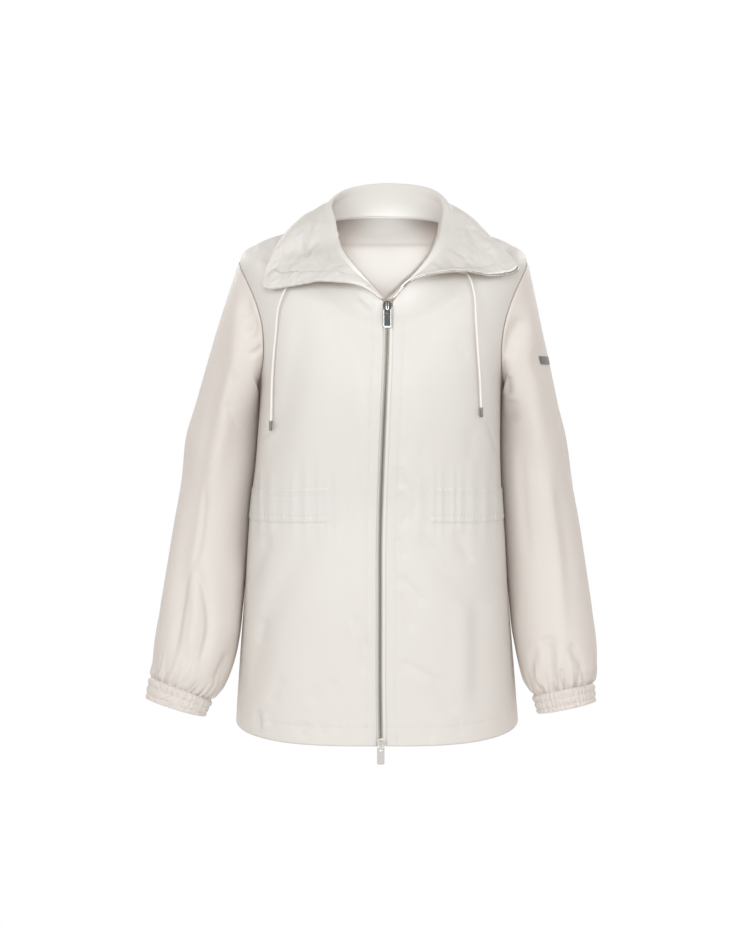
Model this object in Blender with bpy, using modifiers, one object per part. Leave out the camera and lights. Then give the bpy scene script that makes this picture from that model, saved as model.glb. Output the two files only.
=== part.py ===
"""Zip jacket with a turned-down funnel collar, set-in sleeves, gathered cuffs and a waist casing.

Metres, +Z up, and the jacket faces -Y. The origin is the middle of the neck at the height of the shoulder
seams, where the wearer carries it. "left" and "right" are the wearer's: left is +X.
"""

import math

import bmesh
import bpy
import numpy as np

# Walls and gaps
CLOTH = 0.0015
CASING_CLOTH = 0.0010
COLLAR_CLOTH = 0.0018
CUFF_CLOTH = 0.0020
SEAM_GAP = 0.0003
LAID_GAP = 0.0005
CORNER_GAP = 0.0012

# Shape of the body
RING_POWER = 2.35
SIDE_TRIM = 0.0010
SHOULDER_TRIM = 0.006
ARMHOLE_FRONT = 0.27
ARMHOLE_BACK = 0.21
ZIP_SHIFT = 0.0045
FRONT_EDGE = {"right": 0.0052, "left": 0.0075}
SIDES = {"right": -1, "left": 1}
PANEL_COLUMNS = 10
SLEEVE_COLUMNS = 24
ROUND_SIDES = 16
WIRE_SIDES = 6

# Body rings from the hem up: heights at the front, side and back, half width, depths and sideways lean
RINGS = {
    "hem": (-0.6865, -0.693, -0.692, 0.1985, 0.150, 0.140, -0.008),
    "low_hip": (-0.600, -0.600, -0.602, 0.1910, 0.144, 0.134, -0.009),
    "hip": (-0.500, -0.500, -0.502, 0.1825, 0.137, 0.126, -0.009),
    "under_casing": (-0.420, -0.420, -0.422, 0.1765, 0.129, 0.117, -0.009),
    "casing": (-0.365, -0.365, -0.367, 0.1715, 0.126, 0.113, -0.008),
    "ribs": (-0.300, -0.300, -0.300, 0.1665, 0.132, 0.116, -0.006),
    "armpit": (-0.222, -0.215, -0.215, 0.1650, 0.137, 0.122, -0.003),
    "mid_armhole": (-0.172, -0.135, -0.128, 0.1780, 0.131, 0.119, -0.001),
    "shoulder_tip": (-0.138, -0.053, -0.052, 0.1930, 0.120, 0.104, 0.000),
    "outer_shoulder": (-0.126, -0.030, -0.034, 0.1700, 0.117, 0.094, 0.000),
    "mid_shoulder": (-0.112, -0.0165, -0.018, 0.1350, 0.112, 0.080, 0.000),
}
RING_NAMES = list(RINGS) + ["neck"]
ARMPIT = RING_NAMES.index("armpit")
SHOULDER_TIP = RING_NAMES.index("shoulder_tip")
NECK = RING_NAMES.index("neck")

# Neckline points from the centre to the shoulder seam
NECKLINE = {
    "front": ((0.0000, -0.1085, -0.0960), (0.0180, -0.1020, -0.0800), (0.0370, -0.0910, -0.0640),
              (0.0560, -0.0680, -0.0440), (0.0690, -0.0360, -0.0200), (0.0745, 0.0000, 0.0000)),
    "back": ((0.0000, 0.0600, 0.0040), (0.0240, 0.0570, 0.0035), (0.0470, 0.0460, 0.0025),
             (0.0650, 0.0270, 0.0010), (0.0745, 0.0000, 0.0000)),
}

# Sleeve sections below the armhole: x counted outwards, y, z, half width, half depth
SLEEVES = {
    "right": {
        "upper_arm": (0.2171, 0.020, -0.272, 0.0447, 0.072),
        "above_elbow": (0.2303, 0.022, -0.355, 0.0466, 0.070),
        "elbow": (0.2410, 0.015, -0.440, 0.0520, 0.067),
        "forearm": (0.2510, -0.005, -0.520, 0.0558, 0.064),
        "fullest": (0.2595, -0.026, -0.580, 0.0572, 0.062),
        "gathers": (0.2685, -0.040, -0.618, 0.0530, 0.057),
        "cuff_top": (0.2795, -0.048, -0.640, 0.0450, 0.045),
        "cuff_end": (0.2870, -0.054, -0.6630, 0.0410, 0.039),
    },
    "left": {
        "upper_arm": (0.2033, 0.020, -0.272, 0.0405, 0.072),
        "above_elbow": (0.2134, 0.022, -0.355, 0.0460, 0.070),
        "elbow": (0.2236, 0.015, -0.440, 0.0526, 0.067),
        "forearm": (0.2328, -0.005, -0.520, 0.0555, 0.064),
        "fullest": (0.2403, -0.026, -0.580, 0.0557, 0.062),
        "gathers": (0.2450, -0.040, -0.618, 0.0515, 0.057),
        "cuff_top": (0.2495, -0.048, -0.641, 0.0420, 0.045),
        "cuff_end": (0.2545, -0.054, -0.6635, 0.0390, 0.039),
    },
}
CUFF_END = 8
SLEEVE_PLACES = (0.012, 0.12, 0.3, 0.6, 1, 2, 3, 4, 5, 6, 6.5, 6.98)
CUFF_PLACES = (7.01, 7.5, 8)
SHOULDER_DROP = {"right": (0.34, -0.94), "left": (0.24, -0.97)}
ARMPIT_EASE = 0.03
ARMPIT_LIFT = 0.0012

# Waist casing: levels on the body and where it starts beside the zip
CASING_LEVELS = (3.60, 4.05, 4.52)
CASING_START = 0.25
# The casing falls this many levels from the zip to the side seams and stays down across the back
CASING_FALL = 0.44

# Collar stations from the slider round the neck and back: place on the neckline, fold line, free edge, bulge
COLLAR = {
    "right_slider": (0.04, 0.0000, -0.1140, -0.0900, -0.0030, -0.1180, -0.0895, 0.000),
    "right_break": (0.20, -0.0160, -0.1080, -0.0730, -0.0340, -0.1260, -0.0716, 0.002),
    "right_seam": (0.40, -0.0360, -0.0950, -0.0520, -0.0840, -0.1270, -0.0672, 0.004),
    "right_chest": (0.56, -0.0520, -0.0700, -0.0340, -0.1280, -0.1180, -0.0753, 0.009),
    "right_point": (0.70, -0.0590, -0.0420, -0.0180, -0.1575, -0.1040, -0.0742, 0.014),
    "right_neck": (0.87, -0.0640, -0.0160, 0.0050, -0.1440, -0.0600, -0.0315, 0.011),
    "right_side": (1.10, -0.0690, 0.0180, 0.0275, -0.1230, 0.0080, -0.0090, 0.005),
    "right_back": (1.55, -0.0460, 0.0600, 0.0425, -0.0820, 0.0860, -0.0080, 0.004),
    "back": (2.00, 0.0050, 0.0760, 0.0485, 0.0040, 0.1100, -0.0100, 0.004),
    "left_back": (2.45, 0.0620, 0.0580, 0.0425, 0.0880, 0.0850, -0.0060, 0.004),
    "left_side": (2.90, 0.0830, 0.0180, 0.0270, 0.1210, 0.0200, -0.0020, 0.005),
    "left_neck": (3.13, 0.0800, -0.0160, 0.0020, 0.1490, -0.0400, -0.0240, 0.011),
    "left_point": (3.30, 0.0745, -0.0445, -0.0165, 0.1740, -0.0880, -0.0520, 0.013),
    "left_chest": (3.44, 0.0630, -0.0690, -0.0350, 0.1420, -0.1090, -0.0606, 0.008),
    "left_seam": (3.60, 0.0445, -0.0935, -0.0550, 0.0960, -0.1230, -0.0553, 0.004),
    "left_break": (3.80, 0.0230, -0.1070, -0.0745, 0.0410, -0.1230, -0.0640, 0.002),
    "left_slider": (3.96, 0.0085, -0.1140, -0.0900, 0.0120, -0.1180, -0.0890, 0.000),
}
COLLAR_NAMES = list(COLLAR)
COLLAR_GAP = 0.0040
COLLAR_ROLL = 0.012
ROLL_START = 0.3
ROLL_END = 0.5
FACING_WIDTH = 0.024
FACING_CLOTH = 0.0010
FACING_GAP = 0.0020
FACING_START = 1.5
FACING_INNERMOST = 0.56

# Zip
TAPE_HALF = 0.013
TAPE_MIDDLE = 0.0002
TAPE_CLOTH = 0.0008
CHAIN_HALF = 0.0030
CHAIN_FRONT = 0.0010
CHAIN_THICK = 0.0024
ROW_WIDTH = 0.0030
ROW_THICK = 0.0020
ROW_START = 0.5
ROW_BASE = 0.97
SLIDER_HEIGHT = 0.0150
SLIDER_WIDTH = 0.0110
SLIDER_FRONT = 0.0035
SLIDER_BACK = 0.0004
SLIDER_BELOW = 0.0045
SLIDER_OUTLINE = ((0.35, 1.0), (1.0, 0.8), (1.0, 0.6), (0.76, 0.13), (0.6, 0.0))
BAIL_RADIUS = 0.0036
BAIL_TURN = math.radians(92)
BAIL_WIRE = 0.0007
BAR_RADIUS = 0.0007
PULL_WIDTH = 0.0100
PULL_LENGTH = 0.0240
PULL_CORNER = 0.0022
PULL_HOLE = (0.0052, 0.0052)
HOLE_CORNER = 0.0012
UPPER_PIVOT_HEIGHT = -0.1055
LOWER_PIVOT_HEIGHT = -0.6860

# Drawcords, from the eyelets under the collar down the fronts
CORD_RADIUS = 0.0017
CORD_SPACING = 0.009
TIP_RADIUS = 0.0022
TIP_LENGTH = 0.0130
EYELET_RADIUS = 0.0042
EYELET_WIRE = 0.0011
EYELETS = {"right": (9.09, 0.556), "left": (9.85, 0.549)}
CORD_ROUTES = {
    "right": ((-0.1120, -0.0954, -0.0673), (-0.1130, -0.0994, -0.0652), (-0.1180, -0.1035, -0.0675),
              (-0.1250, -0.1050, -0.0750), (-0.1310, -0.1040, -0.0860), (-0.1365, -0.1010, -0.1010),
              (-0.1395, -0.0985, -0.1180), (-0.1410, -0.0967, -0.1360), (-0.1440, -0.0925, -0.1620),
              (-0.1475, -0.0845, -0.2050), (-0.1495, -0.0810, -0.2570)),
    "left": ((0.1038, -0.0875, -0.0576), (0.1045, -0.0900, -0.0565), (0.1072, -0.0942, -0.0588),
             (0.1115, -0.0998, -0.0645), (0.1152, -0.1052, -0.0755), (0.1185, -0.1085, -0.0925),
             (0.1200, -0.1100, -0.1195), (0.1230, -0.1090, -0.1590), (0.1264, -0.1040, -0.1990),
             (0.1285, -0.0990, -0.2360)),
}

# Plain plate on the left sleeve: heights at its front end, half turns round the sleeve, fall to its back end
BADGE_HEIGHTS = (-0.1866, -0.1757)
BADGE_ROUND = (0.757, 0.900)
BADGE_FALL = 0.0050
BADGE_THICK = 0.0010
BADGE_GAP = 0.0008

CREAM = (0.86, 0.82, 0.77)
TAPE_CREAM = (0.80, 0.78, 0.71)
NICKEL = (0.62, 0.60, 0.57)
DARK_METAL = (0.20, 0.20, 0.21)


# Curves through tables

def hermite(start, end, start_slope, end_slope, t):
    square, cube = t * t, t * t * t
    return (
        start * (2 * cube - 3 * square + 1)
        + start_slope * (cube - 2 * square + t)
        + end * (3 * square - 2 * cube)
        + end_slope * (cube - square)
    )


def along(rows, place):
    """Smooth curve through rows of numbers, at a place counted in rows."""
    rows = np.asarray(rows, float)
    last = len(rows) - 1
    k = min(max(int(math.floor(place)), 0), last - 1)
    start, end = rows[k], rows[k + 1]
    before = rows[k - 1] if k > 0 else 2 * start - end
    after = rows[k + 2] if k + 2 <= last else 2 * end - start
    return hermite(start, end, (end - before) / 2, (after - start) / 2, place - k)


def unit(vector):
    return vector / np.linalg.norm(vector)


def spread(first, last, steps):
    return [first + (last - first) * i / steps for i in range(steps + 1)]


# The body

def neck_point(around, side, half):
    line = NECKLINE[half]
    x, y, z = along(line, around * (len(line) - 1))
    return np.array((SIDES[side] * x, y, z))


def ring_point(ring, around, side, half):
    """A point on one body ring: around is 0 at the centre and 1 at the side seam."""
    if ring >= NECK:
        return neck_point(around, side, half)
    z_front, z_side, z_back, width, front, back, lean = RINGS[RING_NAMES[ring]]
    depth, z_centre, facing = (front, z_front, -1) if half == "front" else (back, z_back, 1)
    turn = around * math.pi / 2
    across, deep = math.sin(turn), math.cos(turn)
    reach = ((across / width) ** RING_POWER + (deep / depth) ** RING_POWER) ** (-1 / RING_POWER)
    z = z_side + (z_centre - z_side) * deep ** 2
    return np.array((lean + SIDES[side] * reach * across, facing * reach * deep, z))


def body_middle(level, around, side, half):
    """A point on the body before its front edge moves aside for the zip: level counts rings from the hem."""
    k = min(max(int(math.floor(level)), 0), NECK - 1)
    rings = [min(max(k + step, 0), NECK) for step in (-1, 0, 1, 2)]
    before, start, end, after = (ring_point(ring, around, side, half) for ring in rings)
    point = hermite(start, end, (end - before) / 2, (after - start) / 2, level - k)
    if half == "front":
        point[0] += ZIP_SHIFT * (1 - around) ** 2
    return point


def body_point(level, around, side, half):
    point = body_middle(level, around, side, half)
    if half == "front":
        point[0] += SIDES[side] * FRONT_EDGE[side] * (1 - around) ** 4
    return point


def body_out(level, around, side, half):
    """The outward direction of the body surface."""
    step = 0.02
    low, high = max(level - step, 0), min(level + step, NECK)
    near, far = max(around - step, 0), min(around + step, 1)
    up = body_point(high, around, side, half) - body_point(low, around, side, half)
    across = body_point(level, far, side, half) - body_point(level, near, side, half)
    facing = 1 if half == "front" else -1
    return unit(np.cross(across, up)) * SIDES[side] * facing


def armhole_place(turn):
    """Level, place around and half on the armhole: turn is 0 at the armpit and pi at the shoulder."""
    level = ARMPIT + (SHOULDER_TIP - ARMPIT) * (1 - math.cos(turn)) / 2
    half = "front" if math.sin(turn) >= 0 else "back"
    reach = ARMHOLE_FRONT if half == "front" else ARMHOLE_BACK
    return level, 1 - reach * abs(math.sin(turn)), half


def panel_end(level, half):
    """Where a panel's row ends: the side seam, the armhole or the shoulder seam."""
    if level >= SHOULDER_TIP:
        return 1 - SHOULDER_TRIM
    if level <= ARMPIT:
        return 1 - SIDE_TRIM
    turn = math.acos(1 - 2 * (level - ARMPIT) / (SHOULDER_TIP - ARMPIT))
    return armhole_place(turn if half == "front" else -turn)[1] - SIDE_TRIM


def panel_levels():
    armhole = [armhole_place(turn)[0] for turn in spread(0, math.pi, 8)]
    return spread(0, ARMPIT, 9)[:-1] + armhole + spread(SHOULDER_TIP, NECK, 4)[1:]


# The sleeves

def sleeve_section(side, name, turn):
    """A point on one sleeve section: turn is 0 next to the body, a quarter turn at the front."""
    x, y, z, half_width, half_depth = SLEEVES[side][name]
    names = list(SLEEVES[side])
    k = names.index(name)
    above = np.array(SLEEVES[side][names[max(k - 1, 0)]][:3])
    below = np.array(SLEEVES[side][names[min(k + 1, len(names) - 1)]][:3])
    down = unit(below - above)
    outward = unit(np.cross(down, np.array((0.0, -1.0, 0.0))))
    outward = outward * (1 if outward[0] > 0 else -1)
    forward = unit(np.cross(outward, down))
    forward = forward * (1 if forward[1] < 0 else -1)
    reach = forward * half_depth * math.sin(turn) - outward * half_width * math.cos(turn)
    return (np.array((x, y, z)) + reach) * np.array((SIDES[side], 1, 1))


def sleeve_ring(side, ring, turn):
    if ring == 0:
        level, around, half = armhole_place(turn)
        lift = ARMPIT_LIFT * (1 + math.cos(turn)) / 2
        return body_middle(level, around, side, half) + body_out(level, around, side, half) * lift
    return sleeve_section(side, list(SLEEVES[side])[ring - 1], turn)


def sleeve_point(side, place, turn):
    """A point on a sleeve: place 0 is the armhole and whole places are the sections below it."""
    k = min(max(int(math.floor(place)), 0), CUFF_END - 1)
    start, end = sleeve_ring(side, k, turn), sleeve_ring(side, k + 1, turn)
    after = sleeve_ring(side, min(k + 2, CUFF_END), turn)
    if k == 0:
        top = (1 - math.cos(turn)) / 2
        sideways, down = SHOULDER_DROP[side]
        drop = np.array((SIDES[side] * sideways, 0.0, down)) * np.linalg.norm(end - start)
        level, around, half = armhole_place(turn)
        ease = body_out(level, around, side, half) * ARMPIT_EASE
        slope = (end - start + ease) * (1 - top) + drop * top
    else:
        slope = (end - sleeve_ring(side, k - 1, turn)) / 2
    return hermite(start, end, slope, (after - start) / 2, place - k)


def sleeve_out(side, place, turn):
    step = 0.02
    down = sleeve_point(side, place + step, turn) - sleeve_point(side, place - step, turn)
    across = sleeve_point(side, place, turn + step) - sleeve_point(side, place, turn - step)
    return unit(np.cross(down, across)) * SIDES[side]


# The collar

def collar_seam(place):
    """A point on the neckline: 0 and 4 at the zip, 1 and 3 at the shoulder seams, 2 at the back."""
    side, reach = ("right", place) if place <= 2 else ("left", 4 - place)
    return neck_point(reach, side, "front") if reach <= 1 else neck_point(2 - reach, side, "back")


def collar_point(station, across):
    """A point on the collar's showing face: across runs from the neck seam over the fold to the free edge."""
    row = along(list(COLLAR.values()), station)
    seam, fold, edge = collar_seam(row[0]), row[1:4], row[4:7]
    up = unit(fold - seam)
    seam = seam + up * COLLAR_GAP
    fall = unit(edge - fold)
    roll = min(COLLAR_ROLL, np.linalg.norm(edge - fold) / 3, np.linalg.norm(fold - seam) / 2)
    top, turned = fold - up * roll, fold + fall * roll
    peak = fold + (up - fall) * roll / 2
    if across < ROLL_START:
        return seam + (top - seam) * across / ROLL_START
    if across < ROLL_END:
        t = (across - ROLL_START) / (ROLL_END - ROLL_START)
        return top * (1 - t) ** 2 + peak * 2 * t * (1 - t) + turned * t ** 2
    t = (across - ROLL_END) / (1 - ROLL_END)
    lift = unit(up - fall * np.dot(up, fall)) * row[7]
    return turned + (edge - turned) * t + lift * 4 * t * (1 - t)


def collar_out(station, across):
    """The direction that the collar's showing face looks in."""
    step = 0.01
    last = len(COLLAR) - 1
    low, high = max(station - step, 0), min(station + step, last)
    near, far = max(across - step, 0), min(across + step, 1)
    ahead = collar_point(high, across) - collar_point(low, across)
    over = collar_point(station, far) - collar_point(station, near)
    return unit(np.cross(ahead, over))


def lapel_stations(side, start):
    """Half stations from near the slider to the collar's point."""
    last = len(COLLAR) - 1
    first, tip = (start, COLLAR_NAMES.index("right_point"))
    if side == "left":
        first, tip = (last - start, COLLAR_NAMES.index("left_point"))
    return spread(first, tip, round(2 * abs(tip - first)))


def facing_point(station, share):
    """A point on the facing: share is 0 on its inner edge and 1 on the zip edge of the collar."""
    start, edge = collar_point(station, ROLL_END), collar_point(station, 1)
    inner = max(1 - (1 - ROLL_END) * FACING_WIDTH / np.linalg.norm(edge - start), FACING_INNERMOST)
    across = inner + (1 - inner) * share
    lift = FACING_GAP + FACING_CLOTH
    return collar_point(station, across) + collar_out(station, across) * lift


def row_point(station, share):
    """A point on an open row of zip teeth beside the collar's zip edge."""
    edge = collar_point(station, 1)
    over = unit(edge - collar_point(station, ROW_BASE))
    return edge + over * (LAID_GAP + ROW_WIDTH * share) + collar_out(station, 1) * ROW_THICK / 4


# The zip

def zip_line(level):
    """The middle of the zip on the front."""
    return body_middle(level, 0, "left", "front")


def zip_out(level):
    low, high = max(level - 0.02, 0), min(level + 0.02, NECK)
    rise = zip_line(high) - zip_line(low)
    return unit(np.array((0.0, -rise[2], rise[1])))


def zip_level(height):
    """The level where the zip has a given height, by halving."""
    low, high = 0.0, float(NECK)
    for _ in range(40):
        middle = (low + high) / 2
        if zip_line(middle)[2] < height:
            low = middle
        else:
            high = middle
    return (low + high) / 2


def zip_point(sideways, level, lift):
    return zip_line(level) + np.array((sideways, 0.0, 0.0)) + zip_out(level) * lift


# Making objects

def start_scene():
    """Empties the scene and returns the collection for the jacket's pieces."""
    for obj in list(bpy.data.objects):
        bpy.data.objects.remove(obj, do_unlink=True)
    collection = bpy.data.collections.new("zip_jacket")
    bpy.context.scene.collection.children.link(collection)
    return collection


def principled(name, colour, roughness, metallic=0.0):
    look = bpy.data.materials.new(name)
    look.use_nodes = True
    shader = look.node_tree.nodes["Principled BSDF"]
    shader.inputs["Base Color"].default_value = (*colour, 1.0)
    shader.inputs["Roughness"].default_value = roughness
    shader.inputs["Metallic"].default_value = metallic
    return look


def place_object(collection, name, data, look):
    data.materials.append(look)
    obj = bpy.data.objects.new(name, data)
    collection.objects.link(obj)
    return obj


def cloth(collection, name, columns, rows, point, thickness, look, flip=False, closed=False):
    """A grid moved to a surface and thickened behind its showing face."""
    shape = bmesh.new()
    bmesh.ops.create_grid(shape, x_segments=len(columns) - 1, y_segments=len(rows) - 1, size=1.0)
    for corner in shape.verts:
        column = columns[round((corner.co.x + 1) / 2 * (len(columns) - 1))]
        row = rows[round((corner.co.y + 1) / 2 * (len(rows) - 1))]
        corner.co = point(column, row)
    if closed:
        bmesh.ops.remove_doubles(shape, verts=shape.verts, dist=1e-6)
    if flip:
        bmesh.ops.reverse_faces(shape, faces=shape.faces)
    mesh = bpy.data.meshes.new(name)
    shape.to_mesh(mesh)
    shape.free()
    mesh.shade_smooth()
    obj = place_object(collection, name, mesh, look)
    wall = obj.modifiers.new("wall", "SOLIDIFY")
    wall.thickness = thickness
    wall.offset = -1
    wall.use_rim = True
    wall.use_quality_normals = True
    return obj


def flat_outline(collection, name, outlines, thickness, look):
    """A flat plate from closed outlines in its own X-Z plane, the later ones being holes."""
    data = bpy.data.curves.new(name, "CURVE")
    data.dimensions = "2D"
    data.fill_mode = "BOTH"
    data.extrude = thickness / 2
    for outline in outlines:
        spline = data.splines.new("POLY")
        spline.points.add(len(outline) - 1)
        for place, (x, z) in zip(spline.points, outline):
            place.co = (x, z, 0, 1)
        spline.use_cyclic_u = True
    obj = place_object(collection, name, data, look)
    obj.rotation_euler = (math.pi / 2, 0, 0)
    return obj


def wire(collection, name, points, radius, look, sides=2):
    """A round wire along points, with closed ends."""
    data = bpy.data.curves.new(name, "CURVE")
    data.dimensions = "3D"
    data.bevel_depth = radius
    data.bevel_resolution = sides
    data.use_fill_caps = True
    spline = data.splines.new("POLY")
    spline.points.add(len(points) - 1)
    for place, point in zip(spline.points, points):
        place.co = (*point, 1)
    return place_object(collection, name, data, look)


def rounded_box(half_width, bottom, top, corner):
    """Outline of an upright box with round corners."""
    middles = ((half_width - corner, top - corner, 0), (corner - half_width, top - corner, 90),
               (corner - half_width, bottom + corner, 180), (half_width - corner, bottom + corner, 270))
    outline = []
    for x, z, start in middles:
        for turn in spread(math.radians(start), math.radians(start + 90), 4):
            outline.append((x + corner * math.cos(turn), z + corner * math.sin(turn)))
    return outline


# The jacket's pieces

def make_body(collection, look):
    levels = panel_levels()
    for side in SIDES:
        cloth(collection, "front_" + side, spread(0, 1, PANEL_COLUMNS), levels,
              lambda share, level: body_point(level, share * panel_end(level, "front"), side, "front"),
              CLOTH, look, flip=side == "right")

    def back_point(share, level):
        side = "left" if share >= 0 else "right"
        return body_point(level, abs(share) * panel_end(level, "back"), side, "back")
    cloth(collection, "back", spread(-1, 1, 2 * PANEL_COLUMNS), levels, back_point, CLOTH, look, flip=True)


def make_sleeves(collection, look):
    for side in SIDES:
        cloth(collection, "sleeve_" + side, spread(0, 2 * math.pi, SLEEVE_COLUMNS), SLEEVE_PLACES,
              lambda turn, place: sleeve_point(side, place, turn), CLOTH, look,
              flip=side == "right", closed=True)
        cloth(collection, "cuff_" + side, spread(0, 2 * math.pi, SLEEVE_COLUMNS), CUFF_PLACES,
              lambda turn, place: sleeve_point(side, place, turn), CUFF_CLOTH, look,
              flip=side == "right", closed=True)


def make_collar(collection, look):
    last = len(COLLAR) - 1
    across = [0, ROLL_START / 2] + spread(ROLL_START, ROLL_END, 4) + spread(ROLL_END, 1, 4)[1:]
    cloth(collection, "collar", spread(0, last, 2 * last), across, collar_point, COLLAR_CLOTH, look)
    for side in SIDES:
        cloth(collection, "facing_" + side, lapel_stations(side, FACING_START), spread(0, 1, 2), facing_point,
              FACING_CLOTH, look, flip=side == "left")


def make_waist_casing(collection, look):
    lift = LAID_GAP + CASING_CLOTH

    def casing_point(level, around, side, half):
        return body_point(level, around, side, half) + body_out(level, around, side, half) * lift

    def front_fall(around):
        return CASING_FALL * (1 - math.cos(around * math.pi / 2))
    shares = [share * (1 - SIDE_TRIM) for share in spread(0, 1, PANEL_COLUMNS)]
    showing = [share for share in shares if share > CASING_START]
    for side in SIDES:
        cloth(collection, "waist_casing_front_" + side, showing, CASING_LEVELS,
              lambda around, level: casing_point(level - front_fall(around), around, side, "front"),
              CASING_CLOTH, look, flip=side == "right")

    def back_point(share, level):
        side = "left" if share >= 0 else "right"
        return casing_point(level - CASING_FALL, abs(share), side, "back")
    around_back = [-share for share in reversed(shares[1:])] + shares
    cloth(collection, "waist_casing_back", around_back, CASING_LEVELS, back_point, CASING_CLOTH, look,
          flip=True)


def make_zip(collection, tape_look, metal):
    top = zip_level(UPPER_PIVOT_HEIGHT - SLIDER_BELOW - CORNER_GAP)
    bottom = zip_level(LOWER_PIVOT_HEIGHT + SLIDER_HEIGHT - SLIDER_BELOW + CORNER_GAP)
    tape_lift = -CLOTH - LAID_GAP
    for side, sign in SIDES.items():
        cloth(collection, "zip_tape_" + side, (TAPE_MIDDLE, TAPE_HALF), panel_levels()[:-1],
              lambda sideways, level: zip_point(sign * sideways, level, tape_lift),
              TAPE_CLOTH, tape_look, flip=side == "right")
    inner_levels = [level for level in panel_levels() if bottom < level < top]
    cloth(collection, "zip_chain", (-CHAIN_HALF, CHAIN_HALF), [bottom] + inner_levels + [top],
          lambda sideways, level: zip_point(sideways, level, CHAIN_FRONT), CHAIN_THICK, metal)
    for side in SIDES:
        cloth(collection, "zip_row_" + side, lapel_stations(side, ROW_START), (0, 1), row_point, ROW_THICK,
              metal, flip=side == "left")


def make_slider(collection, name, height, metal):
    """A slider with its bail and hanging pull, held on an empty at the pull's bar."""
    level = zip_level(height)
    out = zip_out(level)
    pivot = zip_point(0, level, SLIDER_FRONT + BAR_RADIUS + 2 * SEAM_GAP)
    holder = bpy.data.objects.new("slider_place_" + name, None)
    holder.location = pivot
    holder.rotation_euler = (-math.atan2(out[2], -out[1]), 0, 0)
    collection.objects.link(holder)

    thick = SLIDER_FRONT - SLIDER_BACK
    bottom, top = -SLIDER_BELOW, SLIDER_HEIGHT - SLIDER_BELOW
    outline = [(share * SLIDER_WIDTH / 2, bottom + rise * (top - bottom)) for share, rise in SLIDER_OUTLINE]
    outline = outline + [(-x, z) for x, z in reversed(outline)]
    body = flat_outline(collection, "slider_" + name, [outline], thick, metal)
    body.location = (0, thick / 2 + BAR_RADIUS + 2 * SEAM_GAP, 0)

    arch = [(0.0, -BAIL_RADIUS * math.cos(turn), BAIL_RADIUS * math.sin(turn))
            for turn in spread(-BAIL_TURN, BAIL_TURN, 10)]
    bail = wire(collection, "bail_" + name, arch, BAIL_WIRE, metal, 1)

    hole_wide, hole_long = PULL_HOLE
    plate = rounded_box(PULL_WIDTH / 2, -PULL_LENGTH, BAR_RADIUS, PULL_CORNER)
    hole = rounded_box(hole_wide / 2, -BAR_RADIUS - hole_long, -BAR_RADIUS, HOLE_CORNER)
    pull = flat_outline(collection, "pull_" + name, [plate, hole], 2 * BAR_RADIUS, metal)
    for piece in (body, bail, pull):
        piece.parent = holder


def smooth_route(points, spacing):
    """Points about a spacing apart on the smooth curve through a route."""
    length = sum(np.linalg.norm(np.subtract(b, a)) for a, b in zip(points, points[1:]))
    steps = round(length / spacing)
    return [along(points, place) for place in spread(0, len(points) - 1, steps)]


def make_cords(collection, cord_look, metal):
    for side, route in CORD_ROUTES.items():
        points = smooth_route(route, CORD_SPACING)
        wire(collection, "cord_" + side, points, CORD_RADIUS, cord_look)
        heading = unit(points[-1] - points[-2])
        middle = points[-1] + heading * (SEAM_GAP + TIP_LENGTH / 2)
        bpy.ops.mesh.primitive_cylinder_add(vertices=ROUND_SIDES, radius=TIP_RADIUS, depth=TIP_LENGTH,
                                            location=middle)
        add_primitive(collection, "cord_tip_" + side, heading, metal)
        level, around = EYELETS[side]
        out = body_out(level, around, side, "front")
        seat = body_point(level, around, side, "front") + out * (EYELET_WIRE + LAID_GAP)
        bpy.ops.mesh.primitive_torus_add(major_segments=ROUND_SIDES, minor_segments=WIRE_SIDES,
                                         major_radius=EYELET_RADIUS, minor_radius=EYELET_WIRE, location=seat)
        add_primitive(collection, "eyelet_" + side, out, metal)


def add_primitive(collection, name, axis, look):
    """Names the newest primitive, turns its Z to an axis and moves it to the jacket's collection."""
    obj = bpy.context.active_object
    obj.name = name
    obj.data.name = name
    tilt = math.acos(max(-1.0, min(1.0, axis[2])))
    turn = math.atan2(axis[1], axis[0])
    obj.rotation_euler = (0, tilt, turn)
    obj.data.materials.append(look)
    obj.data.shade_smooth()
    for holder in list(obj.users_collection):
        holder.objects.unlink(obj)
    collection.objects.link(obj)


def badge_point(turn, height):
    """A point over the left sleeve at a given height of the plate's front end, found by halving."""
    first, last = BADGE_ROUND
    height = height - BADGE_FALL * (turn / math.pi - first) / (last - first)
    low, high = 0.0, 1.0
    for _ in range(40):
        middle = (low + high) / 2
        if sleeve_point("left", middle, turn)[2] > height:
            low = middle
        else:
            high = middle
    return sleeve_point("left", low, turn) + sleeve_out("left", low, turn) * (BADGE_GAP + BADGE_THICK)


def make_badge(collection, metal):
    turns = [share * math.pi for share in spread(*BADGE_ROUND, 6)]
    cloth(collection, "sleeve_badge", turns, spread(*BADGE_HEIGHTS, 2), badge_point, BADGE_THICK, metal,
          flip=True)


def main():
    collection = start_scene()
    cream = principled("cream_cloth", CREAM, 0.55)
    tape = principled("zip_tape", TAPE_CREAM, 0.75)
    metal = principled("nickel", NICKEL, 0.25, 1.0)
    make_body(collection, cream)
    make_sleeves(collection, cream)
    make_collar(collection, cream)
    make_waist_casing(collection, cream)
    make_zip(collection, tape, metal)
    make_slider(collection, "upper", UPPER_PIVOT_HEIGHT, metal)
    make_slider(collection, "lower", LOWER_PIVOT_HEIGHT, metal)
    make_cords(collection, cream, metal)
    make_badge(collection, principled("dark_plate", DARK_METAL, 0.4, 1.0))


main()
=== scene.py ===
import math

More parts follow.
